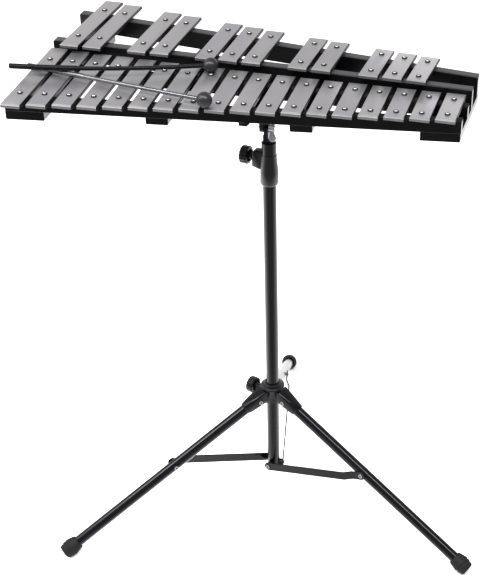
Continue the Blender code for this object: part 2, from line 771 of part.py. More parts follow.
def clamp(axis):
    """Sleeve over both tubes with a boss for its screw, toward -X."""
    low = CLAMP_TOP - CLAMP_HEIGHT
    lip = CLAMP_TOP - CLAMP_LIP_DROP
    profile = [
        (0.0, low), (CLAMP_RADIUS - CLAMP_FOOT_CHAMFER * 0.6, low),
        (CLAMP_RADIUS, low + CLAMP_FOOT_CHAMFER),
        (CLAMP_RADIUS - 0.0003, (low + lip) / 2.0),
        (CLAMP_RADIUS_TOP, lip), (CLAMP_RADIUS_TOP, CLAMP_TOP), (0.0, CLAMP_TOP),
    ]
    body = turned("clamp", profile, TUBE_SIDES, black_plastic(), axis)
    boss_top = CLAMP_TOP + CLAMP_BOSS_RISE
    boss_low = boss_top - CLAMP_BOSS_HEIGHT
    root = boss_low - CLAMP_BOSS_SLANT
    boss = [
        (0.0, root), (0.0, boss_top - 0.0020),
        (-CLAMP_BOSS_REACH + 0.0100, boss_top), (-CLAMP_BOSS_REACH + CLAMP_BOSS_CHAMFER, boss_top),
        (-CLAMP_BOSS_REACH, boss_top - CLAMP_BOSS_CHAMFER),
        (-CLAMP_BOSS_REACH, boss_low), (-CLAMP_RADIUS, root),
    ]
    half = CLAMP_BOSS_WIDTH / 2.0
    block = prism("clamp_boss", boss, -half, half, "Y", black_plastic(), axis)
    edges = block.modifiers.new("rounded_edges", "BEVEL")
    edges.width = 0.0018
    edges.segments = 2
    combine(body, block, "UNION")
    over = boss_top + 0.01
    bores = {
        "clamp_lower_bore": (OUTER_TUBE_RADIUS + SEAT, low - 0.01, OUTER_TUBE_TOP + SEAT),
        "clamp_upper_bore": (INNER_TUBE_RADIUS + SLIDE_PLAY, low - 0.01, over),
        "clamp_cap_room": (CAP_RADIUS + 0.0012, CLAMP_TOP, over),
    }
    for name, (radius, start, end) in bores.items():
        bore = turned(name, [(radius, start), (radius, end)], TUBE_SIDES, None, axis)
        combine(body, bore, "DIFFERENCE")
    screw = turned("clamp_screw_bore", [(KNOB_SCREW_RADIUS + SLIDE_PLAY, -CLAMP_BOSS_REACH - 0.01),
                                        (KNOB_SCREW_RADIUS + SLIDE_PLAY, -INNER_TUBE_RADIUS)],
                   12, None, axis, location=(0.0, 0.0, clamp_screw_z()), rotation=LYING_ALONG_X)
    combine(body, screw, "DIFFERENCE")
    return body


def clamp_screw_z():
    return CLAMP_TOP - CLAMP_SCREW_DROP


def knob(name, parent, screw_z, boss_reach, tube_radius):
    """Fluted knob with a recess and its screw, pointing along +X to the tube."""
    steps = KNOB_FLUTES * 3
    fluted = []
    for i in range(steps):
        angle = 2.0 * math.pi * i / steps
        radius = KNOB_RADIUS - (KNOB_FLUTE_DEPTH if i % 3 == 0 else 0.0)
        fluted.append((radius * math.cos(angle), radius * math.sin(angle)))
    rim_end = -boss_reach - KNOB_GAP
    back = rim_end - KNOB_THICKNESS
    recess = rim_end - KNOB_RECESS_DEPTH
    edge = 1.0 - KNOB_ROUNDING / KNOB_RADIUS
    open_share = KNOB_RECESS_RADIUS / KNOB_RADIUS
    layers = (
        (edge, back), (1.0, back + KNOB_ROUNDING), (1.0, rim_end - KNOB_ROUNDING), (edge, rim_end),
        (open_share, rim_end), (open_share * 0.94, recess),
    )
    bm = bmesh.new()
    rings = []
    for share, x in layers:
        rings.append([bm.verts.new((x, a * share, b * share)) for a, b in fluted])
    bm.faces.new(rings[0])
    bm.faces.new(rings[-1])
    for first, second in zip(rings, rings[1:]):
        for i in range(steps):
            j = (i + 1) % steps
            bm.faces.new((first[i], first[j], second[j], second[i]))
    grip = finish(name, bm, black_plastic(), parent, location=(0.0, 0.0, screw_z))
    neck_end = -boss_reach - SEAT * 2.0
    tip = -tube_radius - SEAT
    profile = [
        (0.0, recess - 0.002), (KNOB_NECK_RADIUS, recess - 0.002), (KNOB_NECK_RADIUS, neck_end),
        (KNOB_SCREW_RADIUS, neck_end), (KNOB_SCREW_RADIUS, tip), (0.0, tip),
    ]
    stem = turned(name + "_stem", profile, 12, bare_steel(), parent, location=(0.0, 0.0, screw_z),
                  rotation=LYING_ALONG_X)
    combine(grip, stem, "UNION")
    return smooth(grip, 30.0)


# Hub and legs

def leg_slope():
    """Angle of an open leg below the horizontal, and the leg's length, pin to foot end."""
    run = FOOT_SPREAD - HUB_PIN_REACH
    drop = HUB_PIN_HEIGHT - FOOT_AXIS_HEIGHT
    return math.atan2(drop, run), math.hypot(run, drop)


def hub_knob_azimuth():
    """The knob sits midway between the left and the rear leg."""
    return (LEG_AZIMUTHS["left"] + LEG_AZIMUTHS["rear"]) / 2.0 + 180.0


def hub_profile():
    """Sleeve with a grooved flange and a collar on top, from the height of the leg pins."""
    low = -HUB_SLEEVE_BELOW_PIN
    flange_top = HUB_FLANGE_TOP - HUB_PIN_HEIGHT
    flange_low = flange_top - HUB_FLANGE_THICKNESS
    groove = flange_low + 0.0012
    floor = HUB_FLANGE_RADIUS - HUB_GROOVE_DEPTH
    top = HUB_TOP - HUB_PIN_HEIGHT
    return [
        (0.0, low), (HUB_SLEEVE_RADIUS, low), (HUB_SLEEVE_RADIUS, flange_low - HUB_CONE_HEIGHT),
        (HUB_FLANGE_RADIUS - 0.0008, flange_low), (HUB_FLANGE_RADIUS, flange_low + 0.0006),
        (HUB_FLANGE_RADIUS, groove), (floor, groove + 0.0002), (floor, groove + 0.0012),
        (HUB_FLANGE_RADIUS, groove + 0.0014), (HUB_FLANGE_RADIUS, flange_top - 0.0008),
        (HUB_FLANGE_RADIUS - 0.0010, flange_top), (HUB_COLLAR_RADIUS, flange_top),
        (HUB_COLLAR_RADIUS, top - 0.0008), (HUB_COLLAR_RADIUS - 0.0008, top), (0.0, top),
    ]


def hub_lug(side, hub_axis):
    """Plate from the sleeve to the pin of one leg, for its fork."""
    low = -HUB_SLEEVE_BELOW_PIN
    root = HUB_SLEEVE_RADIUS - 0.0012
    outline = [(root, low), (HUB_PIN_REACH, -HUB_LUG_END)]
    outline += arc(HUB_PIN_REACH, 0.0, HUB_LUG_END, -60.0, 60.0, 4)
    outline += [(HUB_PIN_REACH, HUB_LUG_END), (root, HUB_LUG_END + 0.004)]
    half = HUB_LUG_WIDTH / 2.0
    return prism("hub_lug_" + side, outline, -half, half, "Y", None, hub_axis,
                 rotation=(0.0, 0.0, math.radians(LEG_AZIMUTHS[side])))


def hub(hub_axis):
    """Flanged sleeve with a lug for each leg, at the height of the leg pins."""
    body = turned("leg_hub", hub_profile(), TUBE_SIDES, black_plastic(), hub_axis)
    toward_knob = (0.0, math.pi / 2.0, math.radians(hub_knob_azimuth() - 180.0))
    boss = turned("hub_boss", [(HUB_BOSS_RADIUS, -HUB_BOSS_REACH), (HUB_BOSS_RADIUS, 0.0)],
                  16, None, hub_axis, location=(0.0, 0.0, HUB_SCREW_ABOVE_PIN),
                  rotation=toward_knob)
    combine(body, boss, "UNION")
    for side in LEG_AZIMUTHS:
        combine(body, hub_lug(side, hub_axis), "UNION")
    for side, azimuth in LEG_AZIMUTHS.items():
        turn = Matrix.Rotation(math.radians(azimuth), 3, "Z")
        place = turn @ Vector((HUB_PIN_REACH, 0.0, 0.0))
        hole = turned("hub_pin_bore_" + side,
                      [(RIVET_RADIUS + SLIDE_PLAY, -0.008), (RIVET_RADIUS + SLIDE_PLAY, 0.008)],
                      12, None, hub_axis, location=place,
                      rotation=(math.pi / 2.0, 0.0, math.radians(azimuth)))
        combine(body, hole, "DIFFERENCE")
    bore = turned("hub_bore", [(OUTER_TUBE_RADIUS + SLIDE_PLAY, -0.03),
                               (OUTER_TUBE_RADIUS + SLIDE_PLAY, 0.04)],
                  TUBE_SIDES, None, hub_axis)
    screw = turned("hub_screw_bore", [(KNOB_SCREW_RADIUS + SLIDE_PLAY, -HUB_BOSS_REACH - 0.01),
                                      (KNOB_SCREW_RADIUS + SLIDE_PLAY, -OUTER_TUBE_RADIUS)],
                   12, None, hub_axis, location=(0.0, 0.0, HUB_SCREW_ABOVE_PIN),
                   rotation=toward_knob)
    combine(body, bore, "DIFFERENCE")
    combine(body, screw, "DIFFERENCE")
    return body


def socket_section(spec):
    """Rounded rectangle across the leg, as (across, up) points around its axis."""
    half, top, bottom, rounding = (spec[key] for key in ("half", "top", "bottom", "rounding"))
    points = []
    corners = (
        (half - rounding, top - rounding, 0.0), (rounding - half, top - rounding, 90.0),
        (rounding - half, rounding - bottom, 180.0), (half - rounding, rounding - bottom, 270.0),
    )
    for across, up, start in corners:
        points += arc(across, up, rounding, start, start + 90.0, 3)
    return points


def socket(side, pin, placing):
    """Sleeve around the top of the leg, whose nose clears the hub when the leg folds."""
    slope, _ = leg_slope()
    bm = bmesh.new()
    rings = []
    for spec in SOCKET_SECTIONS:
        lean = SOCKET_END_LEAN if spec["along"] > SLOT_LENGTH else 0.0
        rings.append([bm.verts.new((spec["along"] + lean * up, across, up))
                      for across, up in socket_section(spec)])
    bm.faces.new(rings[0])
    bm.faces.new(rings[-1])
    for first, second in zip(rings, rings[1:]):
        for i in range(len(first)):
            j = (i + 1) % len(first)
            bm.faces.new((first[i], first[j], second[j], second[i]))
    sleeve = finish("leg_socket_" + side, bm, black_plastic(), pin, **placing)
    inward = SOCKET_INNER_END - HUB_PIN_REACH
    nose_top = math.degrees(math.acos(inward / SOCKET_NOSE) + slope)
    low = Matrix.Rotation(slope, 2) @ Vector((inward, -0.03))
    nose = [tuple(low)] + arc(0.0, 0.0, SOCKET_NOSE, nose_top, 100.0, 6)
    nose += [(0.05, SOCKET_NOSE), (0.05, -0.03)]
    combine(sleeve, prism("leg_nose_" + side, nose, -0.02, 0.02, "Y", None, pin, **placing),
            "INTERSECT")
    half_slot = HUB_LUG_WIDTH / 2.0 + SIDE_PLAY
    slot = prism("leg_slot_" + side, rectangle(-0.04, SLOT_LENGTH, -0.03, SOCKET_BACK),
                 -half_slot, half_slot, "Y", None, pin, **placing)
    combine(sleeve, slot, "DIFFERENCE")
    return smooth(sleeve)


def leg(side, pin):
    """Tube with its moulded socket and rivets. X runs from the pin to the foot, Y is the pin."""
    slope, length = leg_slope()
    start = SLOT_LENGTH + 0.0020
    end = length - FOOT_SOLE
    tube = turned("leg_" + side, [(0.0, start), (LEG_RADIUS, start), (LEG_RADIUS, end), (0.0, end)],
                  LEG_SIDES, black_steel(), pin, rotation=(0.0, slope + math.pi / 2.0, 0.0))
    combine(tube, socket(side, pin, {"rotation": (0.0, slope, 0.0)}), "UNION")
    cheek = SOCKET_SECTIONS[-1]["half"]
    inside = cheek - 0.0010
    reach = cheek + RIVET_HEAD_HEIGHT
    rivet = turned("leg_pin_" + side, [
        (0.0, -reach), (RIVET_HEAD_RADIUS, -reach), (RIVET_HEAD_RADIUS, -inside),
        (RIVET_RADIUS, -inside), (RIVET_RADIUS, inside),
        (RIVET_HEAD_RADIUS, inside), (RIVET_HEAD_RADIUS, reach), (0.0, reach)],
        12, bare_steel(), pin, rotation=LYING_ALONG_Y)
    combine(tube, rivet, "UNION")
    head = turned("leg_rivet_" + side, [
        (0.0, 0.0), (RIVET_HEAD_RADIUS, 0.0), (RIVET_HEAD_RADIUS, LEG_RADIUS),
        (RIVET_HEAD_RADIUS * 0.7, LEG_RADIUS + RIVET_HEAD_HEIGHT),
        (0.0, LEG_RADIUS + RIVET_HEAD_HEIGHT)],
        12, bare_steel(), pin,
        location=Matrix.Rotation(slope, 3, "Y") @ Vector((BRACE_SHARE_OF_LEG * length, 0.0, 0.0)),
        rotation=LYING_ALONG_Y)
    combine(tube, head, "UNION")
    return tube


def foot(side, pin):
    """Ribbed rubber cup on the leg's end, cut flat where it meets the floor."""
    slope, length = leg_slope()
    mouth = length - FOOT_LENGTH
    along_leg = {"rotation": (0.0, slope + math.pi / 2.0, 0.0)}
    profile = [(0.0, mouth)] + [(radius, mouth + along) for along, radius in FOOT_PROFILE]
    profile.append((0.0, length))
    cup = turned("foot_" + side, profile, FOOT_SIDES, black_rubber(), pin, **along_leg)
    inner = LEG_RADIUS + SEAT
    bore = turned("foot_bore_" + side, [(inner, mouth - 0.01), (inner, length - FOOT_SOLE + SEAT)],
                  LEG_SIDES, None, pin, **along_leg)
    combine(cup, bore, "DIFFERENCE")
    run = FOOT_SPREAD - HUB_PIN_REACH
    around = rectangle(run - 2.0 * FOOT_LENGTH, run + FOOT_LENGTH, -FOOT_LENGTH, FOOT_LENGTH)
    floor = prism("foot_floor_" + side, around, -HUB_PIN_HEIGHT - FOOT_LENGTH, -HUB_PIN_HEIGHT,
                  "Z", None, pin)
    combine(cup, floor, "DIFFERENCE")
    return cup


# Braces

def brace_end():
    """Where the brace meets its leg, seen from the brace's own pivot: run and rise."""
    slope, length = leg_slope()
    along = BRACE_SHARE_OF_LEG * length
    run = HUB_PIN_REACH + along * math.cos(slope)
    rise = HUB_PIN_HEIGHT - along * math.sin(slope) - BRACE_PIVOT_HEIGHT
    return run, rise


def brace(side, pivot):
    """Flat strip beside the post that steps in to lie on its leg. X runs from pivot to leg."""
    run, rise = brace_end()
    length = math.hypot(run, rise)
    far = -BRACE_STRIP_OFFSET - SIDE_PLAY
    near = -LEG_RADIUS - SIDE_PLAY - BRACE_THICKNESS / 2.0
    far_middle = far - BRACE_THICKNESS / 2.0
    step_start = length - BRACE_JOGGLE_START
    step_end = step_start + BRACE_JOGGLE_LENGTH
    width = BRACE_WIDTH / 2.0
    centre_line = [(-width, far_middle), (step_start, far_middle), (step_end, near),
                   (length + width, near)]
    half = BRACE_THICKNESS / 2.0
    outline = [(a, b - half) for a, b in centre_line]
    outline += [(a, b + half) for a, b in reversed(centre_line)]
    tilt = (0.0, -math.atan2(rise, run), 0.0)
    strip = prism("brace_" + side, outline, -width, width, "Z", black_steel(), pivot, rotation=tilt)
    ends = arc(0.0, 0.0, width, 90.0, 270.0, 8) + arc(length, 0.0, width, -90.0, 90.0, 8)
    rounding = prism("brace_ends_" + side, ends, -0.05, 0.05, "Y", None, pivot, rotation=tilt)
    combine(strip, rounding, "INTERSECT")
    bore = turned("brace_bore_" + side, [(RIVET_RADIUS + SLIDE_PLAY, -0.03),
                                         (RIVET_RADIUS + SLIDE_PLAY, 0.0)],
                  12, None, pivot, rotation=LYING_ALONG_Y)
    combine(strip, bore, "DIFFERENCE")
    outside = -near + half
    head = turned("brace_rivet_" + side, [
        (0.0, -outside - RIVET_HEAD_HEIGHT), (RIVET_HEAD_RADIUS * 0.7, -outside - RIVET_HEAD_HEIGHT),
        (RIVET_HEAD_RADIUS, -outside), (RIVET_HEAD_RADIUS, near), (0.0, near)],
        12, bare_steel(), pivot, location=(run, 0.0, rise), rotation=LYING_ALONG_Y)
    combine(strip, head, "UNION")
    return strip


def brace_collar(base):
    """Plug in the end of the outer tube, with a riveted boss for each brace under it."""
    plug = OUTER_TUBE_RADIUS - TUBE_WALL - SEAT
    rim = OUTER_TUBE_BOTTOM - SEAT
    plug_top = rim + COLLAR_PLUG_LENGTH
    profile = [
        (0.0, COLLAR_BOTTOM), (COLLAR_RADIUS - 0.0012, COLLAR_BOTTOM),
        (COLLAR_RADIUS, COLLAR_BOTTOM + 0.0012), (COLLAR_RADIUS, rim), (plug, rim),
        (plug, plug_top), (0.0, plug_top),
    ]
    body = turned("brace_collar", profile, TUBE_SIDES, black_plastic(), base)
    boss_end = BRACE_STRIP_OFFSET
    rivet_end = boss_end + 2.0 * SIDE_PLAY + BRACE_THICKNESS
    for side, azimuth in LEG_AZIMUTHS.items():
        boss = turned("collar_boss_" + side, [
            (0.0, 0.0), (COLLAR_BOSS_RADIUS, 0.0), (COLLAR_BOSS_RADIUS, boss_end),
            (RIVET_RADIUS, boss_end), (RIVET_RADIUS, rivet_end), (RIVET_HEAD_RADIUS, rivet_end),
            (RIVET_HEAD_RADIUS * 0.7, rivet_end + RIVET_HEAD_HEIGHT),
            (0.0, rivet_end + RIVET_HEAD_HEIGHT)],
            12, None, base, location=(0.0, 0.0, BRACE_PIVOT_HEIGHT),
            rotation=(math.pi / 2.0, 0.0, math.radians(azimuth)))
        combine(body, boss, "UNION")
    room = hollow_profile(OUTER_TUBE_RADIUS + SEAT, plug, rim, plug_top + 0.01)
    combine(body, turned("collar_tube_room", room, TUBE_SIDES, None, base, closed=True),
            "DIFFERENCE")
    return body


# Mallets

def mallet(name, frame):
    """Ball head on a thin, slightly bowed shaft with a thicker grip, lying across the bars."""
    spec = MALLETS[name]
    reach = spec["length"]
    grip_start = reach - MALLET_GRIP_LENGTH
    ball = [(0.0, MALLET_HEAD_RADIUS)]
    stop = 180.0 - math.degrees(math.asin(MALLET_SHAFT_RADIUS / MALLET_HEAD_RADIUS))
    for i in range(1, MALLET_BALL_STEPS + 1):
        angle = math.radians(stop * i / MALLET_BALL_STEPS)
        ball.append((MALLET_HEAD_RADIUS * math.sin(angle), MALLET_HEAD_RADIUS * math.cos(angle)))
    shaft_end = ball[-1][1]
    profile = ball + [
        (MALLET_SHAFT_RADIUS, shaft_end + (-grip_start - shaft_end) * i / 4.0) for i in range(1, 5)]
    profile += [
        (MALLET_GRIP_RADIUS, -grip_start - MALLET_GRIP_TAPER),
        (MALLET_GRIP_RADIUS, -grip_start - MALLET_GRIP_LENGTH / 2.0),
        (MALLET_GRIP_RADIUS, -reach + 0.0015), (MALLET_GRIP_RADIUS - 0.0012, -reach), (0.0, -reach),
    ]
    bm = bmesh.new()
    add_turned(bm, profile, MALLET_SIDES)
    for vertex in bm.verts:
        share = min(max(-vertex.co.z / reach, 0.0), 1.0)
        vertex.co.y -= spec["bow"] * 4.0 * share * (1.0 - share)
    head_z = bar_top(False) + MALLET_HEAD_RADIUS + SEAT
    butt_z = bar_top(False) + MALLET_GRIP_RADIUS + SEAT + spec["butt_rise"]
    pitch = math.asin((head_z - butt_z) / reach)
    return smooth(finish(name, bm, black_rubber(), frame,
                         location=(spec["head_x"], spec["head_y"], head_z),
                         rotation=(0.0, math.pi / 2.0 - pitch, math.radians(spec["heading"]))))


# Assembly

def build_frame(frame):
    drills = {name: drill_row(name, frame) for name in RAILS}
    for name, x, semitone, raised in note_bars():
        note_bar(name, x, semitone, raised, drills, frame)
    for name in RAILS:
        rail(name, frame)
    crossbars(frame)
    for name in MALLETS:
        mallet(name, frame)


def build_stand(base):
    outer_tube(base)
    brace_collar(base)
    clamp_axis = empty("clamp_axis", base, turn_z=math.radians(CLAMP_AZIMUTH - 180.0))
    clamp(clamp_axis)
    knob("clamp_knob", clamp_axis, clamp_screw_z(), CLAMP_BOSS_REACH, INNER_TUBE_RADIUS)
    hub_axis = empty("hub_axis", base, (0.0, 0.0, HUB_PIN_HEIGHT))
    hub(hub_axis)
    knob_axis = empty("hub_knob_axis", hub_axis,
                      turn_z=math.radians(hub_knob_azimuth() - 180.0))
    knob("hub_knob", knob_axis, HUB_SCREW_ABOVE_PIN, HUB_BOSS_REACH, OUTER_TUBE_RADIUS)
    for side, azimuth in LEG_AZIMUTHS.items():
        turn = math.radians(azimuth)
        reach = (HUB_PIN_REACH * math.cos(turn), HUB_PIN_REACH * math.sin(turn), 0.0)
        pin = empty("leg_pin_axis_" + side, hub_axis, reach, turn)
        leg(side, pin)
        foot(side, pin)
        pivot = empty("brace_axis_" + side, base, (0.0, 0.0, BRACE_PIVOT_HEIGHT), turn)
        brace(side, pivot)


def solids():
    return [item for item in bpy.context.scene.objects
            if item.type == "MESH" and not item.hide_render]


def centre_on_floor(base):
    """Shift everything so that the origin is under the middle of the bounding box."""
    bpy.context.view_layer.update()
    graph = bpy.context.evaluated_depsgraph_get()
    low = Vector((math.inf, math.inf, math.inf))
    high = -low
    for item in solids():
        shape = item.evaluated_get(graph)
        for vertex in shape.data.vertices:
            point = shape.matrix_world @ vertex.co
            low = Vector(map(min, low, point))
            high = Vector(map(max, high, point))
    middle = (low + high) / 2.0
    base.location = (-middle.x, -middle.y, -low.z)


def main():
    clear_scene()
    base = empty("base_axis")
    post = empty("post_axis", base)
    inner_tube(post)
    post_head(post)
    tilt = empty("tilt_axis", post, (0.0, 0.0, PIVOT_HEIGHT))
    mount_bracket(tilt)
    tilt_bolt(tilt)
    wing_nut(tilt)
    frame = empty("frame_axis", tilt, (FRAME_SHIFT_X, FRAME_SHIFT_Y, 0.0))
    build_frame(frame)
    build_stand(base)
    centre_on_floor(base)


main()
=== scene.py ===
"""Looks for the stand-mounted metallophone: aluminium bars on a black wooden frame, on a
folding tripod stand. Metres, +Z up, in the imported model's own frame."""

import json
import math

import bmesh
import bpy
from mathutils import Matrix, Vector

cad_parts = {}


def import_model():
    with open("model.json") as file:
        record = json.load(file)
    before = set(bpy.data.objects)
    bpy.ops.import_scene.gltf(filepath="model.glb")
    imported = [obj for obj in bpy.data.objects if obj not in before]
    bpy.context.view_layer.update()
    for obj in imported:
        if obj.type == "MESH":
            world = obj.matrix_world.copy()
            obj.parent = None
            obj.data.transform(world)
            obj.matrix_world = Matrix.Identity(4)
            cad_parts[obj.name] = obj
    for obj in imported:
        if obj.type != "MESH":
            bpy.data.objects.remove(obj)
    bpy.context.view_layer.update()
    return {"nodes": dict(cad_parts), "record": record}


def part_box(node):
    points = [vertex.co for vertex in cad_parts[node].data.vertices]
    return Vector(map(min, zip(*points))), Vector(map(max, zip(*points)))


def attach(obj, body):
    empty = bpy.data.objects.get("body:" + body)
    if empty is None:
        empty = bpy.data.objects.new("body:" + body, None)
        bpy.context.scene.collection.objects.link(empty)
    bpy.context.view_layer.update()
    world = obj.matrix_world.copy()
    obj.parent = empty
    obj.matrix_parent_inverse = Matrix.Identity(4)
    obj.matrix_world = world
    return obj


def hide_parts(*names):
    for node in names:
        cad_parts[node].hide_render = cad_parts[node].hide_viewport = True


SEAT = 0.0003            # between a piece and what it rests on

# Camera, from the post's axis on the floor. Angles in degrees, the rest in metres.
CAMERA_PLACE = (0.439, -1.594, 1.3904)
CAMERA_YAW = 13.32
CAMERA_PITCH = 35.07
CAMERA_ROLL = 0.31
CAMERA_SENSOR = 36.0
PHOTO_WIDTH = 480
PHOTO_HEIGHT = 575
FOCAL_PIXELS = 1403.0
CENTRE_X_PIXELS = 314.0
CENTRE_Y_PIXELS = 366.8

# Wooden frame, from its own middle: each rail carries a row of screws, y = middle + slope * x
FRAME_SHIFT = (-0.0326, 0.0395)
BAR_PITCH = 0.0312
NATURAL_NAMES = "GABCDEFGABCDEFGABC"
HAS_SHARP = "CDFGA"
RAIL_WIDTH = 0.0110
RAILS = {
    "rail_front": {
        "middle": -0.0966, "slope": 0.1270, "raised": False, "stretch": 0.998, "shift": 0.0006},
    "rail_middle_front": {
        "middle": -0.0196, "slope": 0.0070, "raised": False, "stretch": 1.008, "shift": -0.0010},
    "rail_middle_rear": {
        "middle": 0.0232, "slope": -0.0470, "raised": True, "stretch": 0.994, "shift": -0.0016},
    "rail_rear": {
        "middle": 0.0938, "slope": -0.1471, "raised": True, "stretch": 0.997, "shift": 0.0010},
}
UNDERCUT_RAIL = "rail_rear"
UNDERCUT_DEPTH = 0.0032
OUTER_CROSSBAR_WIDTH = 0.0493
FELT_WIDTH = 0.0106
FELT_THICKNESS = 0.0025
FELT_ROUNDING = 0.0006
RAIL_ROUNDING = 0.0006
RAIL_CORNER = 0.0030
BUSHING_RADIUS = 0.0046
BUSHING_HEIGHT = 0.0018

# Bar screws
WASHER_RADIUS = 0.0036
WASHER_THICKNESS = 0.0008
SCREW_HEAD_RADIUS = 0.0027
SCREW_HEAD_HEIGHT = 0.0019
SCREW_SHANK_RADIUS = 0.0016
SCREW_SHANK_LENGTH = 0.0085

# Tilter
PIVOT_HEIGHT = 0.6049
WING_TURN = -30.0
WING_FACE = 0.0009
WING_START = 0.0017
WING_FLANGE_RADIUS = 0.0056
WING_HUB_RADIUS = 0.0046
WING_HUB_LENGTH = 0.0064
WING_BORE = 0.0028
WING_SPAN = 0.0170
WING_FLARE = 0.0002
WING_LOBE_WIDTH = 0.0094
WING_THICKNESS = 0.0030

# Knobs: height of the screw, direction in degrees, reach of the boss and what the screw meets
KNOBS = {
    "clamp_knob": {"height": 0.5609, "azimuth": 170.0, "boss": 0.0230, "tube": 0.00745},
    "hub_knob": {"height": 0.1852, "azimuth": 160.2, "boss": 0.0243, "tube": 0.00905},
}
KNOB_RADIUS = 0.0120
KNOB_THICKNESS = 0.0110
KNOB_RIDGES = 14
KNOB_RIDGE_DEPTH = 0.0011
KNOB_GAP = 0.0052
KNOB_ROUNDING = 0.0014
KNOB_RECESS_RADIUS = 0.0088
KNOB_RECESS_DEPTH = 0.0040
KNOB_NECK_RADIUS = 0.0050
KNOB_SCREW_RADIUS = 0.0024

# Tripod
LEG_AZIMUTHS = {"right": -19.8, "left": -139.8, "rear": 100.2}
HUB_PIN_HEIGHT = 0.1803
HUB_PIN_REACH = 0.0238
FOOT_SPREAD = 0.3345
FOOT_AXIS_HEIGHT = 0.0076
LEG_RADIUS = 0.0078
SOCKET_CHEEK = 0.0107
BRACE_SHARE_OF_LEG = 0.4335
BRACE_PIVOT_HEIGHT = 0.0555
BRACE_PIVOT_FACE = 0.0154
BRACE_LEG_FACE = 0.0100
FOOT_LENGTH = 0.0257
FOOT_SOLE = 0.0060
FOOT_PROFILE = (
    (0.0000, 0.0084), (0.0000, 0.0089), (0.0004, 0.0095), (0.0012, 0.0099), (0.0060, 0.0112),
    (0.0116, 0.0124), (0.0130, 0.0126), (0.0142, 0.0125), (0.0149, 0.0119), (0.0156, 0.0116),
    (0.0164, 0.0117), (0.0170, 0.0121), (0.0182, 0.0121), (0.0192, 0.0118), (0.0199, 0.0112),
    (0.0206, 0.0108), (0.0213, 0.0109), (0.0222, 0.0109), (0.0240, 0.0103), (0.0250, 0.0098),
    (0.0257, 0.0090),
)
RIVET_RADIUS = 0.0031
RIVET_BORE = 0.0014
RIVET_HEIGHT = 0.0012

# Tubes
OUTER_TUBE_RADIUS = 0.00905
INNER_TUBE_RADIUS = 0.00745
TUBE_WALL = 0.0012
TUBE_SIDES = 64

# Mallets, as they lie on the bars, from the frame's middle
MALLET_HEAD_RADIUS = 0.0099
MALLET_SHAFT_RADIUS = 0.0027
MALLET_GRIP_RADIUS = 0.0035
MALLET_GRIP_LENGTH = 0.0900
MALLET_GRIP_TAPER = 0.0060
MALLETS = {
    "mallet_lower": {"length": 0.2640, "heading": -13.1, "head": (-0.0275, -0.1154),
                     "butt_rise": 0.0000, "bow": 0.0011, "slot": "grey_plastic"},
    "mallet_upper": {"length": 0.2570, "heading": 16.5, "head": (-0.0508, -0.0119),
                     "butt_rise": 0.0101, "bow": 0.0097, "slot": "black_plastic"},
}

FLOOR_RADIUS = 30.0
BODY_OF_FRAME = "instrument"


# Node helpers for materials

def new_material(name, colour, roughness, metallic=0.0, specular=0.5):
    result = bpy.data.materials.new(name)
    result.use_nodes = True
    shader = result.node_tree.nodes["Principled BSDF"]
    shader.inputs["Base Color"].default_value = (*colour, 1.0)
    shader.inputs["Roughness"].default_value = roughness
    shader.inputs["Metallic"].default_value = metallic
    shader.inputs["Specular IOR Level"].default_value = specular
    return result


def node(surface, kind, **settings):
    result = surface.node_tree.nodes.new(kind)
    for name, value in settings.items():
        setattr(result, name, value)
    return result


def link(surface, source, target):
    surface.node_tree.links.new(source, target)


def noise(surface, scale, stretch=(1.0, 1.0, 1.0), detail=4.0, rough=0.6):
    """Noise in the part's own frame; scale is in cycles per metre."""
    place = node(surface, "ShaderNodeTexCoord")
    stretched = node(surface, "ShaderNodeMapping")
    stretched.inputs["Scale"].default_value = stretch
    result = node(surface, "ShaderNodeTexNoise")
    result.inputs["Scale"].default_value = scale
    result.inputs["Detail"].default_value = detail
    result.inputs["Roughness"].default_value = rough
    link(surface, place.outputs["Object"], stretched.inputs["Vector"])
    link(surface, stretched.outputs["Vector"], result.inputs["Vector"])
    return result.outputs["Fac"]


def spread(surface, value, low, high):
    """Turns a 0 to 1 value into one between low and high."""
    result = node(surface, "ShaderNodeMapRange")
    result.inputs["From Min"].default_value = 0.3
    result.inputs["From Max"].default_value = 0.7
    result.inputs["To Min"].default_value = low
    result.inputs["To Max"].default_value = high
    link(surface, value, result.inputs["Value"])
    return result.outputs["Result"]


def shade(surface, value, dark, light):
    """Turns a 0 to 1 value into a colour between dark and light."""
    result = node(surface, "ShaderNodeMix", data_type="RGBA")
    result.inputs["A"].default_value = (*dark, 1.0)
    result.inputs["B"].default_value = (*light, 1.0)
    link(surface, spread(surface, value, 0.0, 1.0), result.inputs["Factor"])
    return result.outputs["Result"]


def paint_shade_where_it_faces(surface, axis, colour, other):
    """Painted shade: blends to another colour on the faces that look along one of the piece's own axes."""
    coordinates = node(surface, "ShaderNodeTexCoord")
    parts = node(surface, "ShaderNodeSeparateXYZ")
    size = node(surface, "ShaderNodeMath", operation="ABSOLUTE")
    share = node(surface, "ShaderNodeMapRange")
    share.inputs["From Min"].default_value = 0.50
    share.inputs["From Max"].default_value = 0.70
    result = node(surface, "ShaderNodeMix", data_type="RGBA")
    result.inputs["B"].default_value = (*other, 1.0)
    link(surface, coordinates.outputs["Normal"], parts.inputs["Vector"])
    link(surface, parts.outputs[axis], size.inputs["Value"])
    link(surface, size.outputs["Value"], share.inputs["Value"])
    link(surface, share.outputs["Result"], result.inputs["Factor"])
    link(surface, colour, result.inputs["A"])
    return result.outputs["Result"]


def set_input(surface, name, value):
    link(surface, value, surface.node_tree.nodes["Principled BSDF"].inputs[name])


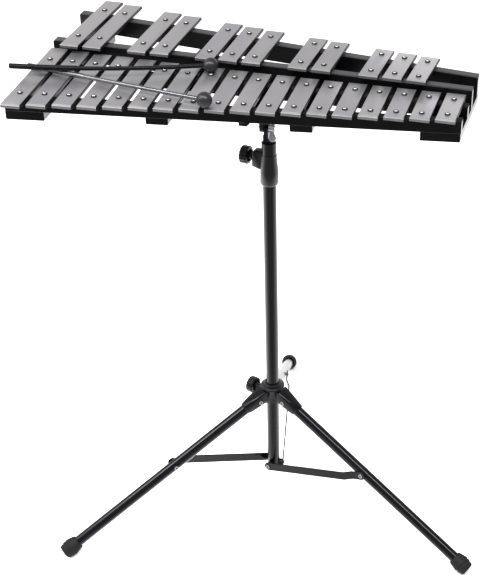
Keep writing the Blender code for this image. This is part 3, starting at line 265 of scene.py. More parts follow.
def add_bump(surface, value, strength, height):
    """Bump of a given height in metres, on top of any bump that is there."""
    shader = surface.node_tree.nodes["Principled BSDF"]
    result = node(surface, "ShaderNodeBump")
    result.inputs["Strength"].default_value = strength
    result.inputs["Distance"].default_value = height
    link(surface, value, result.inputs["Height"])
    if shader.inputs["Normal"].links:
        link(surface, shader.inputs["Normal"].links[0].from_socket, result.inputs["Normal"])
    link(surface, result.outputs["Normal"], shader.inputs["Normal"])


def edge_sheen(surface, facing, grazing):
    """Paint that mirrors little where it faces the eye and more where it is seen edge on."""
    weight = node(surface, "ShaderNodeLayerWeight")
    weight.inputs["Blend"].default_value = 0.5
    result = node(surface, "ShaderNodeMapRange")
    result.inputs["From Min"].default_value = 0.18
    result.inputs["From Max"].default_value = 0.50
    result.inputs["To Min"].default_value = facing
    result.inputs["To Max"].default_value = grazing
    link(surface, weight.outputs["Facing"], result.inputs["Value"])
    set_input(surface, "Specular IOR Level", result.outputs["Result"])


# Materials

def bar_aluminium():
    """Satin aluminium with a fine grain along the bar, with painted shade on the end faces and near-black
    painted shade on the side faces.
    """
    surface = new_material("bar_aluminium", (0.31, 0.305, 0.32), 0.45, 0.93)
    grain = noise(surface, 60.0, (30.0, 1.0, 8.0), detail=3.0)
    cloud = noise(surface, 24.0, detail=3.0)
    tint = noise(surface, 30.0, (1.0, 0.10, 0.10), detail=1.0)
    set_input(surface, "Roughness", spread(surface, cloud, 0.36, 0.46))
    top = shade(surface, tint, (0.200, 0.193, 0.209), (0.226, 0.218, 0.221))
    # Painted shade: the end faces and chamfers are darkened so they mirror less of the overhead lamp.
    ends = paint_shade_where_it_faces(surface, "Y", top, (0.075, 0.073, 0.078))
    # Painted shade: the side faces are near black, for the dark gaps between the bars that they face.
    set_input(surface, "Base Color", paint_shade_where_it_faces(surface, "X", ends, (0.015, 0.015, 0.015)))
    add_bump(surface, grain, 0.22, 0.00004)
    return surface


def black_wood():
    """Black satin paint over wood, with a faint grain along the rail."""
    surface = new_material("black_painted_wood", (0.003, 0.003, 0.0035), 0.28)
    grain = noise(surface, 90.0, (0.06, 1.0, 1.0), detail=5.0)
    cloud = noise(surface, 30.0, detail=4.0)
    edge_sheen(surface, 0.025, 1.0)
    set_input(surface, "Roughness", spread(surface, cloud, 0.20, 0.28))
    set_input(surface, "Base Color", shade(surface, cloud, (0.0010, 0.0010, 0.0012), (0.0020, 0.0020, 0.0022)))
    add_bump(surface, grain, 0.15, 0.00006)
    return surface


def felt(name, dark, light):
    surface = new_material(name, light, 0.95, specular=0.1)
    fibre = noise(surface, 1800.0, detail=6.0, rough=0.75)
    set_input(surface, "Base Color", shade(surface, fibre, dark, light))
    add_bump(surface, fibre, 0.8, 0.0003)
    return surface


def grey_felt():
    """Felt on the raised rails."""
    return felt("grey_felt", (0.015, 0.015, 0.016), (0.030, 0.030, 0.032))


def felt_in_painted_shade():
    """Felt on the low rails: the same felt as on the raised rails, darkened as painted shade from the bars
    over it.
    """
    return felt("felt_in_painted_shade", (0.002, 0.002, 0.0023), (0.004, 0.004, 0.0045))


def black_coat(name, facing, grazing):
    """Powder coat, with how much it mirrors where it faces the eye and where it is seen edge on."""
    surface = new_material(name, (0.005, 0.005, 0.006), 0.30)
    grain = noise(surface, 1500.0, detail=2.0)
    cloud = noise(surface, 22.0, detail=4.0)
    edge_sheen(surface, facing, grazing)
    set_input(surface, "Roughness", spread(surface, cloud, 0.11, 0.16))
    set_input(surface, "Base Color", shade(surface, cloud, (0.0006, 0.0006, 0.0012), (0.0012, 0.0012, 0.0018)))
    add_bump(surface, grain, 0.20, 0.00004)
    return surface


def black_plastic():
    """Moulded plastic with a fine spark texture."""
    surface = new_material("black_moulded_plastic", (0.009, 0.009, 0.010), 0.48)
    grain = noise(surface, 1100.0, detail=3.0)
    cloud = noise(surface, 45.0, detail=4.0)
    edge_sheen(surface, 0.06, 0.45)
    set_input(surface, "Roughness", spread(surface, cloud, 0.30, 0.40))
    set_input(surface, "Base Color", shade(surface, cloud, (0.0018, 0.0018, 0.0022), (0.003, 0.003, 0.0035)))
    add_bump(surface, grain, 0.5, 0.00007)
    return surface


def black_rubber():
    surface = new_material("black_rubber", (0.010, 0.010, 0.010), 0.70, specular=0.12)
    grain = noise(surface, 700.0, detail=4.0)
    cloud = noise(surface, 40.0, detail=5.0)
    set_input(surface, "Roughness", spread(surface, cloud, 0.60, 0.78))
    set_input(surface, "Base Color", shade(surface, cloud, (0.002, 0.002, 0.002), (0.0035, 0.0035, 0.0035)))
    add_bump(surface, grain, 0.5, 0.00008)
    return surface


def zinc_steel():
    surface = new_material("zinc_plated_steel", (0.66, 0.66, 0.66), 0.30, 1.0)
    cloud = noise(surface, 260.0, detail=4.0)
    set_input(surface, "Roughness", spread(surface, cloud, 0.24, 0.38))
    set_input(surface, "Base Color", shade(surface, cloud, (0.56, 0.56, 0.57), (0.74, 0.74, 0.73)))
    add_bump(surface, cloud, 0.2, 0.00004)
    return surface


def dark_steel():
    """Nickel-dark steel of the bar screws, the rivets and the wing nut."""
    surface = new_material("dark_steel", (0.30, 0.30, 0.31), 0.24, 1.0)
    cloud = noise(surface, 260.0, detail=4.0)
    set_input(surface, "Roughness", spread(surface, cloud, 0.30, 0.42))
    set_input(surface, "Base Color", shade(surface, cloud, (0.14, 0.14, 0.15), (0.21, 0.21, 0.215)))
    add_bump(surface, cloud, 0.2, 0.00004)
    return surface


def grey_plastic():
    """Smooth grey shaft of the lower mallet."""
    surface = new_material("mallet_grey_plastic", (0.08, 0.08, 0.085), 0.22, 0.8)
    cloud = noise(surface, 120.0, detail=4.0)
    set_input(surface, "Roughness", spread(surface, cloud, 0.18, 0.26))
    set_input(surface, "Base Color", shade(surface, cloud, (0.036, 0.036, 0.04), (0.055, 0.055, 0.06)))
    return surface


def mallet_rubber():
    """Smooth hard rubber of the mallet heads."""
    surface = new_material("mallet_rubber", (0.009, 0.0085, 0.010), 0.32, specular=0.13)
    cloud = noise(surface, 90.0, detail=4.0)
    set_input(surface, "Roughness", spread(surface, cloud, 0.28, 0.36))
    set_input(surface, "Base Color", shade(surface, cloud, (0.006, 0.0055, 0.007), (0.009, 0.0082, 0.010)))
    return surface


def mallet_black():
    """Smooth plastic of the black shaft."""
    surface = new_material("mallet_black_plastic", (0.003, 0.003, 0.0035), 0.26, specular=0.04)
    cloud = noise(surface, 90.0, detail=4.0)
    set_input(surface, "Roughness", spread(surface, cloud, 0.22, 0.30))
    set_input(surface, "Base Color", shade(surface, cloud, (0.002, 0.002, 0.0025), (0.003, 0.003, 0.0037)))
    return surface


def floor_white():
    surface = new_material("studio_floor", (0.75, 0.75, 0.75), 0.90, specular=0.0)
    cloud = noise(surface, 3.0, detail=2.0)
    set_input(surface, "Roughness", spread(surface, cloud, 0.85, 0.95))
    return surface


# Mesh helpers

def place_mesh(name, bm, surface, matrix=None):
    bmesh.ops.recalc_face_normals(bm, faces=bm.faces)
    mesh = bpy.data.meshes.new(name)
    bm.to_mesh(mesh)
    bm.free()
    mesh.materials.append(surface)
    result = bpy.data.objects.new(name, mesh)
    if matrix is not None:
        result.matrix_world = matrix
    bpy.context.scene.collection.objects.link(result)
    return result


def smooth(item, angle=35.0):
    item.data.shade_smooth()
    item.data.set_sharp_from_angle(angle=math.radians(angle))
    return item


def add_bevel(item, width, segments=2, above=None):
    """Rounds the sharp edges, or only those that lie above a height."""
    step = item.modifiers.new("rounded_edges", "BEVEL")
    step.width = width
    step.segments = segments
    step.limit_method = "ANGLE"
    step.angle_limit = math.radians(40.0)
    if above is not None:
        step.limit_method = "VGROUP"
        step.vertex_group = "upper"
        upper = [vertex.index for vertex in item.data.vertices if vertex.co.z > above]
        item.vertex_groups.new(name="upper").add(upper, 1.0, "REPLACE")
    return item


def join_rings(bm, rings, closed=False):
    """Faces between rings of vertices. A ring with one vertex is a pole."""
    pairs = list(zip(rings, rings[1:]))
    if closed:
        pairs.append((rings[-1], rings[0]))
    for first, second in pairs:
        for i in range(max(len(first), len(second))):
            j = (i + 1) % max(len(first), len(second))
            if len(first) == 1:
                bm.faces.new((first[0], second[i], second[j]))
            elif len(second) == 1:
                bm.faces.new((first[i], second[0], first[j]))
            else:
                bm.faces.new((first[i], first[j], second[j], second[i]))


def add_turned(bm, profile, sides, place=Vector((0.0, 0.0, 0.0)), closed=False):
    """Turns (radius, z) points round a vertical axis through a place. Radius 0 is a pole."""
    rings = []
    for radius, z in profile:
        if radius == 0.0:
            rings.append([bm.verts.new(place + Vector((0.0, 0.0, z)))])
            continue
        ring = []
        for i in range(sides):
            angle = 2.0 * math.pi * i / sides
            offset = Vector((radius * math.cos(angle), radius * math.sin(angle), z))
            ring.append(bm.verts.new(place + offset))
        rings.append(ring)
    join_rings(bm, rings, closed)


def add_prism(bm, outline, low, high, axis="Y"):
    """Extrudes a closed outline of (a, b) points along Y or X, from low to high."""
    if axis == "Y":
        near = [bm.verts.new((a, low, b)) for a, b in outline]
        far = [bm.verts.new((a, high, b)) for a, b in outline]
    else:
        near = [bm.verts.new((low, a, b)) for a, b in outline]
        far = [bm.verts.new((high, a, b)) for a, b in outline]
    bm.faces.new(near)
    bm.faces.new(far)
    join_rings(bm, [near, far])


def arc(centre_a, centre_b, radius, start, stop, steps):
    """Points on an arc, angles in degrees."""
    points = []
    for i in range(steps + 1):
        angle = math.radians(start + (stop - start) * i / steps)
        points.append((centre_a + radius * math.cos(angle), centre_b + radius * math.sin(angle)))
    return points


def body_of(frame, name):
    for body, members in frame["record"]["behaviour"]["bodies"].items():
        if name in members:
            return body
    return None


def fit_in(piece, frame, name):
    """The piece moves with a CAD node's body and stands for that node."""
    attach(piece, body_of(frame, name))
    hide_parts(name)
    return piece


def add_on(piece, body):
    """A piece that rides on a body without standing for a CAD node."""
    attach(piece, body)
    return piece


def skin(frame, name, surface, bevel=0.0, angle=35.0):
    """A smooth-shaded copy of a CAD node, with rounded edges, that stands for it."""
    source = frame["nodes"][name]
    bm = bmesh.new()
    bm.from_mesh(source.data)
    bmesh.ops.remove_doubles(bm, verts=bm.verts, dist=1e-6)
    bmesh.ops.dissolve_limit(bm, angle_limit=math.radians(0.5), verts=bm.verts, edges=bm.edges)
    copy = smooth(place_mesh(name + "_skin", bm, surface), angle)
    if bevel > 0.0:
        add_bevel(copy, bevel)
    return fit_in(copy, frame, name)


# Instrument

def post_axis():
    low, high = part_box("outer_tube")
    return Vector(((low.x + high.x) / 2.0, (low.y + high.y) / 2.0, 0.0))


def frame_middle():
    """Middle of the wooden frame, in the row frame."""
    return post_axis() + Vector((*FRAME_SHIFT, 0.0))


def line_y(name, x):
    return RAILS[name]["middle"] + RAILS[name]["slope"] * x


def bar_rows():
    """Place of each bar along the frame: natural bars and raised bars."""
    naturals = [(i - (len(NATURAL_NAMES) - 1) / 2.0) * BAR_PITCH for i in range(len(NATURAL_NAMES))]
    sharps = [x + BAR_PITCH / 2.0 for x, letter in list(zip(naturals, NATURAL_NAMES))[:-1]
              if letter in HAS_SHARP]
    return {False: naturals, True: sharps}


def screw_places(name):
    """Where the screws of one rail stand, in the row frame."""
    rail = RAILS[name]
    middle = frame_middle()
    places = []
    for x in bar_rows()[rail["raised"]]:
        along = x * rail["stretch"] + rail["shift"]
        places.append(middle + Vector((along, line_y(name, along), 0.0)))
    return places


def bar_heights(raised):
    low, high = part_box("bar_G_sharp5" if raised else "bar_G5")
    return low.z, high.z


def felt_top(raised):
    return bar_heights(raised)[0] - SEAT - (BUSHING_HEIGHT if raised else 0.0)


def along_rail(bm, name):
    """Shears what was made along X onto the line of a rail."""
    for vertex in bm.verts:
        vertex.co.y += line_y(name, vertex.co.x)
    bmesh.ops.translate(bm, verts=bm.verts, vec=frame_middle())


def rail_board(frame, name, surface):
    """Board under the felt, down to the crossbars, with a cut upper left corner."""
    low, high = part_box(name)
    middle = frame_middle()
    left = low.x - middle.x
    right = high.x - middle.x
    bottom = low.z - SEAT
    top = felt_top(RAILS[name]["raised"]) - FELT_THICKNESS
    outline = [(left, bottom)]
    if name == UNDERCUT_RAIL:
        lifted = low.z + UNDERCUT_DEPTH
        first = left + OUTER_CROSSBAR_WIDTH
        last = right - OUTER_CROSSBAR_WIDTH
        outline += [(first, bottom), (first, lifted), (last, lifted), (last, bottom)]
    cut = RAIL_CORNER - FELT_THICKNESS
    outline += [(right, bottom), (right, top), (left + cut, top), (left, top - cut)]
    bm = bmesh.new()
    add_prism(bm, outline, -RAIL_WIDTH / 2.0, RAIL_WIDTH / 2.0)
    along_rail(bm, name)
    board = add_bevel(place_mesh(name + "_board", bm, surface), RAIL_ROUNDING, above=top - 2.0 * cut)
    fit_in(board, frame, name)
    return left, right, top


def felt_strip(name, left, right, bottom, surface):
    start = left + RAIL_CORNER - FELT_THICKNESS
    top = bottom + FELT_THICKNESS
    outline = [(start, bottom - 0.0001), (right, bottom - 0.0001), (right, top),
               (left + RAIL_CORNER, top)]
    bm = bmesh.new()
    add_prism(bm, outline, -FELT_WIDTH / 2.0, FELT_WIDTH / 2.0)
    along_rail(bm, name)
    strip = add_bevel(place_mesh(name + "_felt", bm, surface), FELT_ROUNDING)
    add_on(strip, BODY_OF_FRAME)


def bushings(name, surface):
    """Rubber rings that carry the raised bars, round their screws."""
    top = bar_heights(True)[0] - SEAT
    bottom = felt_top(True) - 0.0002
    rounding = 0.0003
    bm = bmesh.new()
    for place in screw_places(name):
        add_turned(bm, [
            (SCREW_SHANK_RADIUS, bottom), (BUSHING_RADIUS, bottom), (BUSHING_RADIUS, top - rounding),
            (BUSHING_RADIUS - rounding, top), (SCREW_SHANK_RADIUS, top)], 24, place, closed=True)
    add_on(smooth(place_mesh(name + "_bushings", bm, surface)), BODY_OF_FRAME)


def bar_screws(name, rubber, steel):
    """Rubber washers and the domed screws through them, along one rail."""
    seat = bar_heights(RAILS[name]["raised"])[1] + SEAT
    edge = 0.0002
    washer = [
        (SCREW_SHANK_RADIUS, 0.0), (WASHER_RADIUS, 0.0), (WASHER_RADIUS, WASHER_THICKNESS - edge),
        (WASHER_RADIUS - edge, WASHER_THICKNESS), (SCREW_SHANK_RADIUS, WASHER_THICKNESS)]
    rim = WASHER_THICKNESS + 0.0004
    rise = SCREW_HEAD_HEIGHT - 0.0004
    head = [(0.0, WASHER_THICKNESS), (SCREW_HEAD_RADIUS, WASHER_THICKNESS)]
    head += [(SCREW_HEAD_RADIUS * math.cos(math.radians(angle)),
              rim + rise * math.sin(math.radians(angle))) for angle in range(0, 90, 15)]
    head.append((0.0, rim + rise))
    shank = [(0.0, -SCREW_SHANK_LENGTH), (SCREW_SHANK_RADIUS, -SCREW_SHANK_LENGTH),
             (SCREW_SHANK_RADIUS, WASHER_THICKNESS / 2.0), (0.0, WASHER_THICKNESS / 2.0)]
    washers = bmesh.new()
    heads = bmesh.new()
    for place in screw_places(name):
        base = place + Vector((0.0, 0.0, seat))
        add_turned(washers, washer, 28, base, closed=True)
        add_turned(heads, head, 24, base)
        add_turned(heads, shank, 12, base)
    add_on(smooth(place_mesh(name + "_washers", washers, rubber)), BODY_OF_FRAME)
    add_on(smooth(place_mesh(name + "_screws", heads, steel)), BODY_OF_FRAME)


def dress_frame(frame, surfaces):
    for name in RAILS:
        left, right, top = rail_board(frame, name, surfaces["wood"])
        raised = RAILS[name]["raised"]
        # The low rails take the felt darkened as painted shade.
        felt_strip(name, left, right, top, surfaces["grey_felt" if raised else "felt_in_painted_shade"])
        if raised:
            bushings(name, surfaces["rubber"])
        bar_screws(name, surfaces["rubber"], surfaces["dark_steel"])
    for name in sorted(frame["nodes"]):
        if name.startswith("bar_"):
            skin(frame, name, surfaces["aluminium"], bevel=0.00035)
        if name.startswith("crossbar_"):
            skin(frame, name, surfaces["wood"])


# Mallets

def mallet_matrix(spec):
    seat = bar_heights(False)[1] + SEAT
    head_height = seat + MALLET_HEAD_RADIUS
    butt_height = seat + MALLET_GRIP_RADIUS + spec["butt_rise"]
    pitch = math.asin((head_height - butt_height) / spec["length"])
    place = frame_middle() + Vector((*spec["head"], head_height))
    turn = Matrix.Rotation(math.radians(spec["heading"]), 4, "Z")
    return Matrix.Translation(place) @ turn @ Matrix.Rotation(math.pi / 2.0 - pitch, 4, "Y")


def bow(bm, spec):
    """Bends the shaft sideways a little; its ends stay where they are."""
    for vertex in bm.verts:
        share = min(max(-vertex.co.z / spec["length"], 0.0), 1.0)
        vertex.co.y -= spec["bow"] * 4.0 * share * (1.0 - share)


def mallet(frame, name, head_surface, shaft_surface):
    """Ball head on a thin shaft with a thicker grip."""
    spec = MALLETS[name]
    reach = spec["length"]
    grip_start = reach - MALLET_GRIP_LENGTH
    ball = [(0.0, MALLET_HEAD_RADIUS)]
    ball += [(a, b) for b, a in arc(0.0, 0.0, MALLET_HEAD_RADIUS, 0.0, 163.0, 28)[1:]]
    ball.append((0.0, ball[-1][1]))
    head_mesh = bmesh.new()
    add_turned(head_mesh, ball, 40)
    bow(head_mesh, spec)
    matrix = mallet_matrix(spec)
    head = smooth(place_mesh(name + "_head", head_mesh, head_surface, matrix))
    steps = 16
    shaft_start = -MALLET_HEAD_RADIUS * 0.9
    profile = [(0.0, shaft_start)]
    profile += [(MALLET_SHAFT_RADIUS, shaft_start + (-grip_start - shaft_start) * i / steps)
                for i in range(steps + 1)]
    profile += [(MALLET_GRIP_RADIUS, -grip_start - MALLET_GRIP_TAPER - i * 0.01375) for i in range(7)]
    profile += [(MALLET_GRIP_RADIUS, -reach + 0.0012), (MALLET_GRIP_RADIUS - 0.0004, -reach + 0.0004),
                (MALLET_GRIP_RADIUS - 0.0012, -reach), (0.0, -reach)]
    shaft_mesh = bmesh.new()
    add_turned(shaft_mesh, profile, 32)
    bow(shaft_mesh, spec)
    shaft = smooth(place_mesh(name + "_shaft", shaft_mesh, shaft_surface, matrix))
    add_on(shaft, name)
    fit_in(head, frame, name)


# Tilter

def wing_nut(frame, surface):
    """Flanged hub with two broad rounded wings on the tilt bolt."""
    end = WING_START + WING_HUB_LENGTH
    hub = [
        (WING_BORE, WING_FACE), (WING_FLANGE_RADIUS, WING_FACE), (WING_FLANGE_RADIUS, WING_START),
        (WING_HUB_RADIUS, WING_START),
        (WING_HUB_RADIUS, WING_START + WING_HUB_LENGTH * 0.4), (WING_HUB_RADIUS * 0.93, end - 0.0014),
        (WING_HUB_RADIUS * 0.8, end - 0.0003), (WING_HUB_RADIUS * 0.75, end), (WING_BORE, end)]
    lying = Matrix.Translation(post_axis() + Vector((0.0, 0.0, PIVOT_HEIGHT)))
    lying = lying @ Matrix.Rotation(math.radians(WING_TURN), 4, "X")
    bm = bmesh.new()
    add_turned(bm, hub, 40, closed=True)
    along_x = Matrix.Rotation(math.pi / 2.0, 4, "Y")
    bmesh.ops.transform(bm, matrix=along_x, verts=bm.verts)
    nut = smooth(place_mesh("wing_nut_hub", bm, surface, lying))
    fit_in(nut, frame, "wing_nut")
    wings = bmesh.new()
    root = WING_BORE + 0.0008
    lobe_centre = WING_SPAN - WING_LOBE_WIDTH / 2.0
    lobe = arc(WING_START + WING_FLARE + WING_LOBE_WIDTH / 2.0, lobe_centre,
               WING_LOBE_WIDTH / 2.0, 170.0, -10.0, 20)
    for side in (-1.0, 1.0):
        outline = [(WING_START + 0.0010, side * root)]
        outline += [(a, side * b) for a, b in lobe]
        outline.append((end - 0.0010, side * root))
        add_prism(wings, outline, -WING_THICKNESS / 2.0, WING_THICKNESS / 2.0)
    pair = add_bevel(smooth(place_mesh("wing_nut_wings", wings, surface, lying)), 0.0010, 3)
    add_on(pair, "wing_nut")


# Stand

def tube(frame, name, radius, surface):
    """Open tube with rounded rims, round the post's axis."""
    low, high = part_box(name)
    bore = radius - TUBE_WALL
    edge = 0.0003
    profile = [
        (bore, low.z + edge), (bore + edge, low.z), (radius - edge, low.z), (radius, low.z + edge),
        (radius, high.z - edge), (radius - edge, high.z), (bore + edge, high.z), (bore, high.z - edge)]
    bm = bmesh.new()
    add_turned(bm, profile, TUBE_SIDES, post_axis(), closed=True)
    fit_in(smooth(place_mesh(name + "_tube", bm, surface)), frame, name)


def ridged_ring(bm, share, x):
    """One ring of the knob's outline at x along its screw, scaled by a share of its radius."""
    steps = KNOB_RIDGES * 10
    ring = []
    for i in range(steps):
        angle = 2.0 * math.pi * i / steps
        groove = max(0.0, math.cos(angle * KNOB_RIDGES)) ** 2
        radius = (KNOB_RADIUS - KNOB_RIDGE_DEPTH * groove) * share
        ring.append(bm.verts.new((x, radius * math.cos(angle), radius * math.sin(angle))))
    return ring


def knob(frame, name, plastic, steel):
    """Ridged knob, hollow toward the tube, on its screw."""
    spec = KNOBS[name]
    rim_end = -spec["boss"] - KNOB_GAP
    back = rim_end - KNOB_THICKNESS
    recess = rim_end - KNOB_RECESS_DEPTH
    rounding = KNOB_ROUNDING
    edge = 1.0 - rounding / KNOB_RADIUS
    layers = [(0.42, back + 0.0006), (0.46, back + 0.0001), (0.52, back), (edge - 0.02, back)]
    for a, b in arc(0.0, 0.0, 1.0, 180.0, 90.0, 4):
        layers.append((edge + (1.0 - edge) * b, back + rounding * (1.0 + a)))
    for a, b in arc(0.0, 0.0, 1.0, 90.0, 0.0, 4):
        layers.append((edge + (1.0 - edge) * b, rim_end - rounding * (1.0 - a)))
    bm = bmesh.new()
    rings = [ridged_ring(bm, share, x) for share, x in layers]
    steps = len(rings[0])
    for radius, x in ((KNOB_RECESS_RADIUS, rim_end), (KNOB_RECESS_RADIUS - 0.0003, rim_end - 0.0003),
                      (KNOB_RECESS_RADIUS * 0.94, recess)):
        rings.append([bm.verts.new((x, radius * math.cos(2.0 * math.pi * i / steps),
                                    radius * math.sin(2.0 * math.pi * i / steps)))
                      for i in range(steps)])
    rings.insert(0, [bm.verts.new((back + 0.0006, 0.0, 0.0))])
    rings.append([bm.verts.new((recess, 0.0, 0.0))])
    join_rings(bm, rings)
    place = post_axis() + Vector((0.0, 0.0, spec["height"]))
    matrix = Matrix.Translation(place) @ Matrix.Rotation(math.radians(spec["azimuth"] - 180.0), 4, "Z")
    grip = smooth(place_mesh(name + "_grip", bm, plastic, matrix), 30.0)
    fit_in(grip, frame, name)
    neck_end = -spec["boss"] - SEAT * 2.0
    stem = [
        (0.0, recess - 0.0020), (KNOB_NECK_RADIUS, recess - 0.0020),
        (KNOB_NECK_RADIUS, neck_end - 0.0004), (KNOB_NECK_RADIUS - 0.0004, neck_end),
        (KNOB_SCREW_RADIUS, neck_end), (KNOB_SCREW_RADIUS, -spec["tube"] - SEAT),
        (0.0, -spec["tube"] - SEAT)]
    screw = bmesh.new()
    add_turned(screw, stem, 32)
    bmesh.ops.transform(screw, matrix=Matrix.Rotation(math.pi / 2.0, 4, "Y"), verts=screw.verts)
    add_on(smooth(place_mesh(name + "_screw", screw, plastic, matrix)), name)


def leg_slope():
    run = FOOT_SPREAD - HUB_PIN_REACH
    drop = HUB_PIN_HEIGHT - FOOT_AXIS_HEIGHT
    return math.atan2(drop, run), math.hypot(run, drop)


def leg_matrix(side):
    """From a leg's own axes, X along it and Z up from it, to the row frame."""
    turn = Matrix.Rotation(math.radians(LEG_AZIMUTHS[side]), 4, "Z")
    place = post_axis() + turn @ Vector((HUB_PIN_REACH, 0.0, 0.0))
    place.z = HUB_PIN_HEIGHT
    return Matrix.Translation(place) @ turn @ Matrix.Rotation(leg_slope()[0], 4, "Y")


def foot(frame, side, surface):
    """Ribbed rubber cup, open where the leg enters, cut flat on the floor."""
    length = leg_slope()[1]
    mouth = length - FOOT_LENGTH
    inner = LEG_RADIUS + SEAT
    floor = length - FOOT_SOLE + SEAT
    profile = [(0.0, floor), (inner, floor)]
    profile += [(radius, mouth + along) for along, radius in FOOT_PROFILE]
    profile.append((0.0, length))
    bm = bmesh.new()
    add_turned(bm, profile, 48)
    to_row = leg_matrix(side) @ Matrix.Rotation(math.pi / 2.0, 4, "Y")
    bmesh.ops.transform(bm, matrix=to_row, verts=bm.verts)
    cut = bmesh.ops.bisect_plane(bm, geom=bm.verts[:] + bm.edges[:] + bm.faces[:], dist=1e-6,
                                 plane_co=(0.0, 0.0, 0.0), plane_no=(0.0, 0.0, 1.0), clear_inner=True)
    edges = [item for item in cut["geom_cut"] if isinstance(item, bmesh.types.BMEdge)]
    bmesh.ops.contextual_create(bm, geom=edges)
    fit_in(smooth(place_mesh("foot_%s_cup" % side, bm, surface)), frame, "foot_" + side)


def rivet_ring(name, matrix, body, surface):
    """Tubular rivet: a bright ring round a dark bore. The matrix has Z out of the surface."""
    bore = RIVET_BORE
    rim = RIVET_RADIUS
    top = RIVET_HEIGHT
    bm = bmesh.new()
    add_turned(bm, [
        (bore, 0.0), (rim, 0.0), (rim, top * 0.55), (rim - 0.0003, top * 0.85),
        (rim - 0.0008, top), (bore + 0.0003, top * 0.95), (bore, top * 0.75)], 32, closed=True)
    add_on(smooth(place_mesh(name, bm, surface, matrix)), body)


def rivets(side, surface):
    """Rivets through the socket, at the brace's end and at the brace's pivot."""
    out = Matrix.Rotation(math.pi / 2.0, 4, "X")
    back = Matrix.Rotation(-math.pi / 2.0, 4, "X")
    leg = leg_matrix(side)
    along = BRACE_SHARE_OF_LEG * leg_slope()[1]
    turn = Matrix.Rotation(math.radians(LEG_AZIMUTHS[side]), 4, "Z")
    pivot = Matrix.Translation(post_axis() + Vector((0.0, 0.0, BRACE_PIVOT_HEIGHT))) @ turn
    plan = (
        ("socket_near", leg @ Matrix.Translation((0.0, -SOCKET_CHEEK, 0.0)) @ out, "leg_"),
        ("socket_far", leg @ Matrix.Translation((0.0, SOCKET_CHEEK, 0.0)) @ back, "leg_"),
        ("brace_near", leg @ Matrix.Translation((along, -BRACE_LEG_FACE, 0.0)) @ out, "brace_"),
        ("brace_far", leg @ Matrix.Translation((along, LEG_RADIUS, 0.0)) @ back, "leg_"),
        ("collar", pivot @ Matrix.Translation((0.0, -BRACE_PIVOT_FACE, 0.0)) @ out, None),
    )
    for label, matrix, body in plan:
        rider = body + side if body else "base"
        rivet_ring("rivet_%s_%s" % (label, side), matrix, rider, surface)


def dress_stand(frame, surfaces):
    tube(frame, "outer_tube", OUTER_TUBE_RADIUS, surfaces["coat"])
    tube(frame, "inner_tube", INNER_TUBE_RADIUS, surfaces["coat"])
    skin(frame, "post_head", surfaces["coat"], bevel=0.0004)
    skin(frame, "mount_bracket", surfaces["coat"], bevel=0.0004)
    skin(frame, "clamp", surfaces["plastic"], bevel=0.0004)
    skin(frame, "leg_hub", surfaces["plastic"], bevel=0.0003)
    skin(frame, "brace_collar", surfaces["plastic"], bevel=0.0003)
    skin(frame, "tilt_bolt", surfaces["steel"])
    wing_nut(frame, surfaces["dark_steel"])
    for name in KNOBS:
        knob(frame, name, surfaces["plastic"], surfaces["steel"])
    for side in LEG_AZIMUTHS:
        skin(frame, "leg_" + side, surfaces["leg_coat"], bevel=0.0005)
        skin(frame, "brace_" + side, surfaces["strap"], bevel=0.0003)
        foot(frame, side, surfaces["rubber"])
        rivets(side, surfaces["dark_steel"])


# Stage

def camera():
    yaw = math.radians(CAMERA_YAW)
    pitch = math.radians(CAMERA_PITCH)
    roll = math.radians(CAMERA_ROLL)
    ahead = Vector((-math.sin(yaw) * math.cos(pitch), math.cos(yaw) * math.cos(pitch),
                    -math.sin(pitch)))
    right = Vector((math.cos(yaw), math.sin(yaw), 0.0))
    up = right.cross(ahead)
    rolled_right = right * math.cos(roll) + up * math.sin(roll)
    rolled_up = up * math.cos(roll) - right * math.sin(roll)
    lens = bpy.data.cameras.new("camera")
    lens.sensor_width = CAMERA_SENSOR
    lens.lens = FOCAL_PIXELS * CAMERA_SENSOR / PHOTO_HEIGHT
    lens.shift_x = (PHOTO_WIDTH / 2.0 - CENTRE_X_PIXELS) / PHOTO_HEIGHT
    lens.shift_y = (CENTRE_Y_PIXELS - PHOTO_HEIGHT / 2.0) / PHOTO_HEIGHT
    item = bpy.data.objects.new("camera", lens)
    turn = Matrix((rolled_right, rolled_up, -ahead)).transposed().to_4x4()
    item.matrix_world = Matrix.Translation(post_axis() + Vector(CAMERA_PLACE)) @ turn
    bpy.context.scene.collection.objects.link(item)
    bpy.context.scene.camera = item


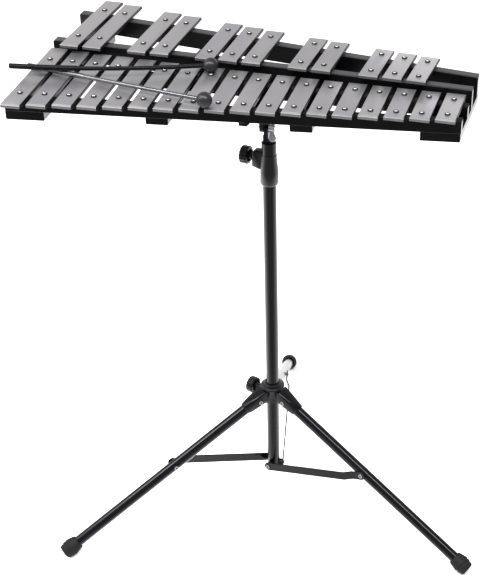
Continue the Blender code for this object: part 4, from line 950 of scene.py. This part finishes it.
def area_light(name, place, target, size, power):
    data = bpy.data.lights.new(name, "AREA")
    data.shape = "RECTANGLE"
    data.size, data.size_y = size
    data.energy = power
    item = bpy.data.objects.new(name, data)
    item.location = place
    item.rotation_euler = (Vector(target) - Vector(place)).to_track_quat("-Z", "Y").to_euler()
    bpy.context.scene.collection.objects.link(item)


def lights():
    area_light("overhead", (0.0, -0.92, 2.3), (0.0, -0.20, 0.0), (3.6, 0.45), 215.0)
    area_light("rear_right", (0.22, 0.60, 0.83), (0.22, 0.12, 0.67), (0.35, 0.15), 0.50)
    area_light("rear_left", (-0.48, 0.85, 1.00), (-0.18, 0.05, 0.67), (0.4, 0.2), 0.08)
    area_light("left", (-1.3, -0.6, 1.3), (-0.5, -0.35, 0.0), (1.2, 1.2), 35.0)
    world = bpy.data.worlds.new("studio")
    world.use_nodes = True
    background = world.node_tree.nodes["Background"]
    background.inputs["Color"].default_value = (1.0, 1.0, 1.0, 1.0)
    background.inputs["Strength"].default_value = 1.15
    bpy.context.scene.world = world
    bpy.context.scene.view_settings.view_transform = "Standard"


def studio_floor():
    bm = bmesh.new()
    bmesh.ops.create_circle(bm, cap_ends=True, segments=64, radius=FLOOR_RADIUS)
    place_mesh("studio_floor", bm, floor_white())


def main():
    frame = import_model()
    surfaces = {
        "aluminium": bar_aluminium(), "wood": black_wood(), "grey_felt": grey_felt(),
        "felt_in_painted_shade": felt_in_painted_shade(), "coat": black_coat("black_powder_coat", 0.048, 0.4),
        "leg_coat": black_coat("black_leg_coat", 0.095, 0.22),
        "strap": black_coat("black_strap_coat", 0.105, 0.16), "plastic": black_plastic(),
        "rubber": black_rubber(), "steel": zinc_steel(), "dark_steel": dark_steel(),
        "grey_plastic": grey_plastic(), "mallet_black": mallet_black(),
        "mallet_rubber": mallet_rubber(),
    }
    camera()
    lights()
    studio_floor()
    dress_frame(frame, surfaces)
    mallet(frame, "mallet_lower", surfaces["mallet_rubber"], surfaces["grey_plastic"])
    mallet(frame, "mallet_upper", surfaces["mallet_rubber"], surfaces["mallet_black"])
    dress_stand(frame, surfaces)


main()
